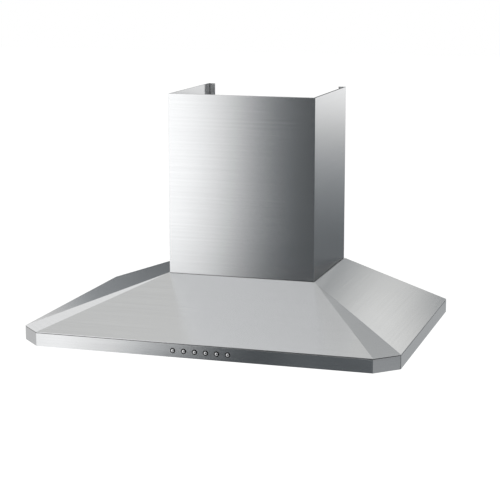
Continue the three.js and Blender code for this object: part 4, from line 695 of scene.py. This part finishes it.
# across the front card, where the chimney sees it and, below that, where the lip sees it
CHIMNEY_TONES = [
    (-3.0, 0.80), (-1.75, 0.86), (-1.50, 1.15), (-1.32, 1.56), (-1.20, 1.24), (-1.12, 1.08),
    (-1.03, 0.76), (-0.95, 0.41), (-0.86, 0.18), (-0.77, 0.08), (-0.66, 0.05), (-0.52, 0.07),
    (-0.10, 0.30), (0.60, 0.50), (1.4, 0.55), (1.8, 0.08), (2.3, 0.05), (3.0, 0.3),
]
LIP_TONES = [
    (-3.0, 1.0), (-1.80, 1.05), (-1.61, 1.19), (-1.475, 0.84), (-1.34, 0.47), (-1.204, 0.24),
    (-1.068, 0.13), (-0.93, 0.075), (-0.80, 0.085), (-0.72, 0.105), (-0.65, 0.14), (-0.59, 0.145),
    (-0.52, 0.125), (-0.45, 0.11), (-0.30, 0.11), (-0.10, 0.12), (0.50, 0.40), (1.4, 0.5),
    (1.8, 0.08), (3.0, 0.3),
]
LIP_STEP = (-0.78, -0.64)
# the card's foot stands just above the floor, and its top fades out
FRONT_FOOT = -1.59
FRONT_FADE = (1.2, 2.2)
# up the part that the chimney sees: what all of it gains, and what its left end gains besides
CHIMNEY_LEVELS = (-0.55, 0.05)
CHIMNEY_GAIN = (0.98, 1.06)
LEFT_GAIN = (0.18, -0.05)
LEFT_END = (-1.00, -1.25)


def front_paint(tree, x, y, z):
    """Bright at the left, falling to a dark band that ends short of the middle."""
    far_left = share_of(tree, x, *LEFT_END)
    gain = maths(tree, "ADD", remapped(tree, z, *CHIMNEY_LEVELS, *CHIMNEY_GAIN),
                 maths(tree, "MULTIPLY", far_left, remapped(tree, z, *CHIMNEY_LEVELS, *LEFT_GAIN)))
    chimney = maths(tree, "MULTIPLY", tone_along(tree, x, CHIMNEY_TONES), gain)
    lip = tone_along(tree, x, LIP_TONES)
    share = share_of(tree, z, *LIP_STEP)
    both = maths(tree, "ADD", lip, maths(tree, "MULTIPLY", share, maths(tree, "SUBTRACT", chimney, lip)))
    return both, remapped(tree, z, *FRONT_FADE, 1.0, 0.0)


# up the back card that the chimney's right side and the lip's right end see
BACK_RIGHT_TONES = [
    (-1.0, 0.45), (-0.80, 0.42), (-0.66, 0.43), (-0.60, 0.46), (-0.52, 0.10), (-0.38, 0.12),
    (-0.16, 0.25), (0.0, 0.47), (0.20, 1.1), (0.5, 1.1),
]
BACK_RIGHT_WINDOW = (0.35, 0.5, 1.3, 1.6)


def back_right_paint(tree, x, y, z):
    return tone_along(tree, z, BACK_RIGHT_TONES), window(tree, x, *BACK_RIGHT_WINDOW)


# across the back card that the left slope sees
BACK_LEFT_TONES = [(-2.6, 1.0), (-2.0, 0.72), (-1.7, 0.25), (-1.4, 0.135), (-1.1, 0.09), (-0.8, 0.3)]
BACK_LEFT_WINDOW = (-0.6, -0.4, 0.3, 0.6)


def back_left_paint(tree, x, y, z):
    return tone_along(tree, x, BACK_LEFT_TONES), window(tree, z, *BACK_LEFT_WINDOW)


# across the upper back card: the part that the front slope sees, and the part that the right corner sees
FRONT_SLOPE_TONES = [
    (-3.4, 0.60), (-2.2, 0.635), (-1.4, 0.65), (-0.8, 0.64), (0.3, 0.64), (0.85, 0.68), (1.0, 0.98),
    (1.4, 0.98),
]
RIGHT_CORNER_TONES = [
    (-3.4, 0.66), (-1.0, 0.62), (-0.4, 0.46), (-0.1, 0.41), (0.03, 0.35), (0.12, 0.38), (0.30, 0.42),
    (1.4, 0.5),
]
UPPER_STEP = (2.45, 2.75)
UPPER_WINDOW = (1.75, 1.95, 4.2, 5.0)


def upper_paint(tree, x, y, z):
    corner = tone_along(tree, x, RIGHT_CORNER_TONES)
    slope = tone_along(tree, x, FRONT_SLOPE_TONES)
    return mixed(tree, share_of(tree, z, *UPPER_STEP), corner, slope), window(tree, z, *UPPER_WINDOW)


# across the card that the right slope sees, at the level of its front and of its rear
SLOPE_FRONT_TONES = [
    (-0.5, 0.30), (-0.04, 0.20), (0.0, 0.25), (0.04, 0.39), (0.08, 0.58), (0.115, 0.80), (0.19, 0.95),
    (0.26, 1.0), (0.31, 0.95), (0.36, 0.80), (1.4, 0.6),
]
SLOPE_REAR_TONES = [
    (-0.5, 0.30), (-0.02, 0.36), (0.03, 0.48), (0.08, 0.60), (0.15, 0.73), (0.21, 0.77), (0.27, 0.62),
    (0.32, 0.44), (0.36, 0.26), (1.4, 0.2),
]
SLOPE_STEP = (0.82, 1.02)
MIDDLE_WINDOW = (0.5, 0.65, 1.6, 1.85)
# what a second reflection shows of that card, as in the right slope at the chimney's foot
SECOND_REFLECTION_TONE = (0.40, 0.40, 0.40, 1)
ONE_REFLECTION = 1.5


def middle_paint(tree, x, y, z):
    front = tone_along(tree, x, SLOPE_FRONT_TONES)
    rear = tone_along(tree, x, SLOPE_REAR_TONES)
    tone = mixed(tree, share_of(tree, z, *SLOPE_STEP), rear, front)
    reflections = add(tree, "ShaderNodeLightPath").outputs["Glossy Depth"]
    second = maths(tree, "GREATER_THAN", reflections, ONE_REFLECTION)
    return mixed(tree, second, tone, SECOND_REFLECTION_TONE), window(tree, z, *MIDDLE_WINDOW)


# up the card on the right, which keeps the lip's right side and the chimney's right corner dark
RIGHT_TONES = [(-1.5, 0.30), (-0.9, 0.40), (-0.66, 0.42), (-0.54, 0.05), (0.1, 0.03), (0.4, 0.2)]
RIGHT_WINDOW = (-3.3, -3.0, 1.9, 2.4)


def right_paint(tree, x, y, z):
    return tone_along(tree, z, RIGHT_TONES), window(tree, y, *RIGHT_WINDOW)


# the card on the left, which the lip's left corner sees
LEFT_TONE = 0.61
LEFT_WINDOW = (0.0, 0.5, 1.5, 2.0)
LEFT_UP = (-1.5, -0.2)


def left_paint(tree, x, y, z):
    return LEFT_TONE, window(tree, y, *LEFT_WINDOW)


# high in front, which the front slope sees in the chimney's front
HIGH_TONES = [(-3.6, 1.0), (-1.75, 0.97), (-1.05, 0.90), (1.0, 0.85)]
HIGH_WINDOW = (2.1, 2.5, 4.8, 5.6)


def high_paint(tree, x, y, z):
    return tone_along(tree, x, HIGH_TONES), window(tree, z, *HIGH_WINDOW)


def make_cards():
    """The studio's cards and flags, which give the steel its light and dark bands.

    A card ends where its row of tones ends one way, and where its window or fade ends the other way.
    """
    card("front_card", facing(tone_ends(CHIMNEY_TONES), (FRONT_FOOT, FRONT_FADE[1]), FRONT_CARD_Y),
         front_paint)
    card("back_right_card",
         facing(window_ends(BACK_RIGHT_WINDOW), tone_ends(BACK_RIGHT_TONES), BACK_CARD_Y), back_right_paint)
    card("back_left_card",
         facing(tone_ends(BACK_LEFT_TONES), window_ends(BACK_LEFT_WINDOW), BACK_CARD_Y), back_left_paint)
    card("upper_card",
         facing(tone_ends(FRONT_SLOPE_TONES), window_ends(UPPER_WINDOW), BACK_CARD_Y + CARD_STEP),
         upper_paint, WARM_TINT)
    card("middle_card",
         facing(tone_ends(SLOPE_FRONT_TONES), window_ends(MIDDLE_WINDOW), BACK_CARD_Y + 2 * CARD_STEP),
         middle_paint, WARM_TINT)
    card("right_card", beside(window_ends(RIGHT_WINDOW), tone_ends(RIGHT_TONES), RIGHT_CARD_X), right_paint)
    card("high_card", facing(tone_ends(HIGH_TONES), window_ends(HIGH_WINDOW), FRONT_CARD_Y), high_paint)
    card("left_card", beside(window_ends(LEFT_WINDOW), LEFT_UP, LEFT_CARD_X), left_paint)


def area_light(name, place, size, power):
    """A soft light that points at the hood and shows in no reflection."""
    data = bpy.data.lights.new(name, "AREA")
    data.shape = "RECTANGLE"
    data.size, data.size_y = size
    data.energy = power
    made = placed(name, data)
    made.location = place
    aim(made, Vector(LIGHT_TARGET) - Vector(place))
    made.visible_camera = False
    made.visible_glossy = False


# ================================================================ the object

BUTTON_COUNT = 6
BUTTON_SIDES = 48
BUTTON_CAP_R = 0.0029
BUTTON_CAP_FLAT = 0.0019
BUTTON_CAP_CROWN = 0.0001
BUTTON_CAP_SHOULDER = 0.0006
BUTTON_CAP_ROUND = 0.0004
CROWN_SHARES = (0.35, 0.7, 1.0)
BUTTON_RING_BORE = 0.0033
BUTTON_RING_R = 0.0049
BUTTON_RING_PROUD = 0.0009
BUTTON_RING_CREST = 0.0003
BUTTON_RING_ROUND = 0.0002
BUTTON_RING_BREAK = 0.0001
BUTTON_BOWL_R = 0.0041
BUTTON_BOWL_DEPTH = 0.0026
BUTTON_BOWL_SKIN = 0.00005
BUTTON_BOWL_FLOOR = 0.0004


def button_ring_profile(front):
    """A bowl with a low crest round it, whose rim lies on the lip."""
    face = front + BUTTON_RING_PROUD
    floor = face + BUTTON_BOWL_DEPTH
    back = floor + BUTTON_BOWL_FLOOR
    outside = BUTTON_BOWL_R + BUTTON_BOWL_SKIN
    inside = rounded([
        (BUTTON_RING_BORE, floor),
        (BUTTON_BOWL_R - BUTTON_RING_BREAK, floor - BUTTON_RING_ROUND),
        (BUTTON_BOWL_R, face + BUTTON_RING_BREAK),
        (BUTTON_BOWL_R + BUTTON_RING_CREST, face - BUTTON_RING_CREST),
        (BUTTON_RING_R - BUTTON_RING_ROUND, face - BUTTON_RING_ROUND),
        (BUTTON_RING_R, face),
    ], BUTTON_RING_ROUND)
    return inside + [(outside, face), (outside, back), (BUTTON_RING_BORE, back)]


def button_cap_profile(front, back):
    """A cap with a slight crown and a rounded shoulder."""
    crown = [(BUTTON_CAP_FLAT * share, front + BUTTON_CAP_CROWN * share * share) for share in CROWN_SHARES]
    shoulder = rounded([crown[-1], (BUTTON_CAP_R, front + BUTTON_CAP_SHOULDER), (BUTTON_CAP_R, back)],
                       BUTTON_CAP_ROUND)
    return [(0.0, front)] + crown + shoulder[1:] + [(0.0, back)]


def make_buttons(materials, smoothing):
    """Each push button: a black bowl set in the lip, and a chrome cap standing out of it."""
    for number in range(1, BUTTON_COUNT + 1):
        low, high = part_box(f"button_{number}")
        ring_low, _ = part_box(f"button_ring_{number}")
        centre = axis_centre(low, high, "y")
        ring = turned_mesh(button_ring_profile(ring_low.y), "y", centre, BUTTON_SIDES, closed=True)
        piece_from(f"button_ring_{number}_turned", ring, "hood",
                   materials["button_ring"], f"button_ring_{number}", smoothing)
        cap = turned_mesh(button_cap_profile(low.y, high.y), "y", centre, BUTTON_SIDES)
        piece_from(f"button_cap_{number}", cap, f"button_body_{number}",
                   materials["button_chrome"], f"button_{number}", smoothing)


LAMP_SIDES = 96
LAMP_BEZEL_R = 0.033
LAMP_FLANGE = 0.002
LAMP_COLLAR_R = 0.0277
LAMP_BORE_R = 0.0243
LAMP_MOUTH_R = 0.0221
LAMP_ROUND = 0.0006
# the bezel's pressed face from its edge inwards: radius, and height above its rim
LAMP_FACE = ((LAMP_BEZEL_R, 0.0012), (LAMP_BEZEL_R - 0.002, 0.0), (0.0262, 0.0), (0.0245, 0.0008),
             (0.0226, 0.0006))
LAMP_LENS_R = 0.0235
# the lens's dome from its middle outwards: share of its radius, and height above its lowest point
LAMP_DOME = ((0.0, 0.0), (0.5, 0.0001), (0.8, 0.0004), (1.0, 0.0012))


def lamp_bezel_profile(rim, top):
    """A collar, a flange under the panel, and a pressed face round the lens."""
    flange = rim + LAMP_FLANGE
    face = [(radius, rim + height) for radius, height in LAMP_FACE]
    return rounded([(LAMP_COLLAR_R, top), (LAMP_COLLAR_R, flange), (LAMP_BEZEL_R, flange)] + face
                   + [(LAMP_MOUTH_R, flange), (LAMP_BORE_R, flange), (LAMP_BORE_R, top)], LAMP_ROUND)


def lamp_lens_profile(bottom, top):
    """A disc with a domed face."""
    dome = [(LAMP_LENS_R * share, bottom + height) for share, height in LAMP_DOME]
    return dome + [(LAMP_LENS_R, top), (0.0, top)]


def make_lamps(materials, smoothing):
    """Each lamp's pressed chrome bezel and its domed frosted lens."""
    for side in ("left", "right"):
        low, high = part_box(f"lamp_bezel_{side}")
        lens_low, lens_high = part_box(f"lamp_lens_{side}")
        centre = axis_centre(low, high, "z")
        bezel = turned_mesh(lamp_bezel_profile(low.z, high.z), "z", centre, LAMP_SIDES, closed=True)
        piece_from(f"lamp_bezel_{side}_pressed", bezel, "hood",
                   materials["lamp_chrome"], f"lamp_bezel_{side}", smoothing)
        lens = turned_mesh(lamp_lens_profile(lens_low.z, lens_high.z), "z", centre, LAMP_SIDES)
        piece_from(f"lamp_lens_{side}_domed", lens, "hood",
                   materials["lamp_glass"], f"lamp_lens_{side}", smoothing)


MESH_COLUMNS = 23
MESH_ROWS = 46
# how high each expanded sheet lies in the filter, as a share of its depth
MESH_HEIGHTS = (0.12, 0.34, 0.90)
MESH_STRAND = 0.0011
MESH_TILT = 1.5
MESH_OVERLAP = 0.2
MESH_INSET = 0.0024
# a strand's corners, as shares of its width and of its tilted height
STRAND_CORNERS = ((-0.5, -0.45), (0.5, 0.05), (0.5, 0.45), (-0.5, -0.05))
PAD_HEIGHT = 0.56
PAD_CELLS = 76
PAD_WAVE = 0.0006
PAD_THICKNESS = 0.0005
SEAT_ROOM = 0.0012


def gathered(meshes):
    """The points and faces of several meshes as one."""
    points, faces = [], []
    for more_points, more_faces in meshes:
        first = len(points)
        points += more_points
        faces += [tuple(first + corner for corner in face) for face in more_faces]
    return points, faces


def strand(bends, z):
    """A tilted strand through its bends, closed at both ends."""
    points = [(x, y + across * MESH_STRAND, z + up * MESH_STRAND * MESH_TILT)
              for x, y in bends for across, up in STRAND_CORNERS]
    sides = len(STRAND_CORNERS)
    faces = []
    for near in range(0, len(points) - sides, sides):
        for corner in range(sides):
            after = (corner + 1) % sides
            faces.append((near + corner, near + after, near + sides + after, near + sides + corner))
    ends = [tuple(reversed(range(sides))), tuple(range(len(points) - sides, len(points)))]
    return points, faces + ends


def expanded_layer(low, high, z, turn, in_seat):
    """One sheet of expanded metal: zigzag strands that meet at their bends and end at the latch's seat."""
    across, along = (high.x - low.x) / MESH_COLUMNS, (high.y - low.y) / MESH_ROWS
    strands = []
    for row in range(MESH_ROWS):
        runs = [[]]
        for bend in range(2 * MESH_COLUMNS + 1):
            sign = 1 if (bend + row + turn) % 2 else -1
            x = low.x + bend * across / 2
            y = low.y + (row + 0.5) * along + sign * (along / 2 - MESH_STRAND * MESH_OVERLAP)
            if in_seat(x, y):
                runs.append([])
            else:
                runs[-1].append((x, y))
        strands += [strand(run, z) for run in runs if len(run) > 1]
    return gathered(strands)


def knitted_pad(low, high, z, in_seat):
    """The fine pad between the expanded sheets, as one thin closed sheet with small waves both ways."""
    def place(row, column):
        return (low.x + (high.x - low.x) * column / PAD_CELLS, low.y + (high.y - low.y) * row / PAD_CELLS)

    kept = {(row, column) for row in range(PAD_CELLS) for column in range(PAD_CELLS)
            if not any(in_seat(*place(row + up, column + over)) for up in (0, 1) for over in (0, 1))}
    points, faces, made = [], [], {}

    def point(row, column, level):
        if (row, column, level) not in made:
            made[row, column, level] = len(points)
            wave = math.sin(row * math.pi / 2) * math.sin(column * math.pi / 2)
            points.append((*place(row, column), z + PAD_WAVE * wave + PAD_THICKNESS * level))
        return made[row, column, level]

    for row, column in sorted(kept):
        ring = [(row, column), (row, column + 1), (row + 1, column + 1), (row + 1, column)]
        faces.append(tuple(point(*corner, 0) for corner in reversed(ring)))
        faces.append(tuple(point(*corner, 1) for corner in ring))
        neighbours = [(row - 1, column), (row, column + 1), (row + 1, column), (row, column - 1)]
        for near, far, neighbour in zip(ring, ring[1:] + ring[:1], neighbours):
            if neighbour not in kept:
                faces.append((point(*near, 0), point(*far, 0), point(*far, 1), point(*near, 1)))
    return points, faces


def seat_of_latch(side):
    """Tells whether a place lies in the room round a latch's seat."""
    low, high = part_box(f"latch_seat_{side}")

    def in_seat(x, y):
        return low.x - SEAT_ROOM < x < high.x + SEAT_ROOM and y < high.y + SEAT_ROOM

    return in_seat


def make_filter_meshes(materials):
    """The filters' packs of expanded aluminium sheets and a fine pad, behind the frames' openings."""
    inset = Vector((MESH_INSET, MESH_INSET, 0))
    for side in ("left", "right"):
        low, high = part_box(f"filter_mesh_{side}")
        in_seat = seat_of_latch(side)
        low, high, depth = low + inset, high - inset, high.z - low.z
        layers = [expanded_layer(low, high, low.z + depth * share, turn, in_seat)
                  for turn, share in enumerate(MESH_HEIGHTS)]
        layers.append(knitted_pad(low, high, low.z + depth * PAD_HEIGHT, in_seat))
        piece_from(f"filter_mesh_{side}_expanded", gathered(layers), f"filter_{side}",
                   materials["filter_aluminium"], f"filter_mesh_{side}")


PANEL_SCREW_COUNT = 4
# enough for the cross recess
SCREW_SIDES = 96
SCREW_HEAD = 0.0024
SCREW_HEAD_EDGE = 0.0012
SCREW_CROWN_SHARE = 0.72
SCREW_ROUND = 0.0010
SCREW_SHANK_R = 0.002
SCREW_TIP_R = 0.0015
SCREW_TIP = 0.0006
CROSS_LONG = 0.0023
CROSS_WIDE = 0.0006
CROSS_TAPER = 0.8
CROSS_DEPTH = 0.0016
CROSS_POINT = 0.0018
SMALLEST_SINE = 0.0001


def cross_reach(shrink):
    """The outline of a screw's cross recess, as the distance from its middle at each angle."""
    def reach(angle):
        turned = abs((angle + math.pi / 4) % (math.pi / 2) - math.pi / 4)
        end = CROSS_LONG * shrink / math.cos(turned)
        side = CROSS_WIDE * shrink / max(math.sin(turned), SMALLEST_SINE)
        return min(end, side)

    return reach


def panel_screw_profile(radius, bottom, top):
    """A shank, a pan head that faces down, and a cross recess in it."""
    head = bottom + SCREW_HEAD
    shank = [(0.0, top), (SCREW_TIP_R, top), (SCREW_SHANK_R, top - SCREW_TIP), (SCREW_SHANK_R, head)]
    edge, crown_end = (radius, bottom + SCREW_HEAD_EDGE), (radius * SCREW_CROWN_SHARE, bottom)
    crown = rounded([(radius, head), edge, crown_end], SCREW_ROUND)
    recess = [(cross_reach(1.0), bottom), (cross_reach(CROSS_TAPER), bottom + CROSS_DEPTH),
              (0.0, bottom + CROSS_POINT)]
    return shank + crown + recess


def make_panel_screws(materials, smoothing):
    """Pan-head screws with a cross recess, under the hood."""
    for number in range(1, PANEL_SCREW_COUNT + 1):
        low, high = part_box(f"panel_screw_{number}")
        profile = panel_screw_profile((high.x - low.x) / 2, low.z, high.z)
        screw = turned_mesh(profile, "z", axis_centre(low, high, "z"), SCREW_SIDES)
        piece_from(f"panel_screw_{number}_cross", screw, "hood",
                   materials["zinc_screws"], f"panel_screw_{number}", smoothing)


TRIM_NODES = ("front_fascia", "side_rail_left", "side_rail_right")
# the thin seam above the trim keeps crisper edges than the other sheets have
SEAM_NODES = TRIM_NODES + ("canopy_shell",)
SHEET_NODES = ("back_plate", "underside_panel", "lower_chimney", "upper_chimney", "chimney_bracket",
               "control_box_lid")
# the canopy isn't mirrored in the chimney that stands on it
UNMIRRORED_NODES = ("canopy_shell",)


def dress_nodes(materials, smoothing):
    """Gives each CAD node its finish, and rounded edges if it is sheet metal or smooth shading if not."""
    for name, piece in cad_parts.items():
        slot = piece.material_slots[0]
        finish = "trim_steel" if name in TRIM_NODES else slot.material.name
        slot.link = "OBJECT"
        slot.material = materials[finish]
        join_triangles(piece)
        if name in SEAM_NODES:
            round_edges(piece, SEAM_EDGE)
        elif name in SHEET_NODES:
            round_edges(piece, SHEET_EDGE)
        else:
            shade_smoothly(piece, smoothing)
        if name in UNMIRRORED_NODES:
            piece.visible_glossy = False


# ================================================================ the scene

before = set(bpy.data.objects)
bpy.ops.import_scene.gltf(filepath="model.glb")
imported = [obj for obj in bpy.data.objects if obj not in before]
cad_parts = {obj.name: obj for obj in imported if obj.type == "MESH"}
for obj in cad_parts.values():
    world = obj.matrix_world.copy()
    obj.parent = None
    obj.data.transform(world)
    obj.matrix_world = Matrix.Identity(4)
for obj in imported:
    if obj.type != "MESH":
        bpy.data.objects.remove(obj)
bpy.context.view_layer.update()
bpy.context.scene.view_settings.view_transform = "Standard"
make_camera()
make_world()
make_floor()
make_cards()
area_light("key", **KEY_LIGHT)
area_light("fill", **FILL_LIGHT)
materials = make_materials()
smoothing = smoothing_group(SMOOTH_ANGLE)
dress_nodes(materials, smoothing)
make_buttons(materials, smoothing)
make_lamps(materials, smoothing)
make_filter_meshes(materials)
make_panel_screws(materials, smoothing)
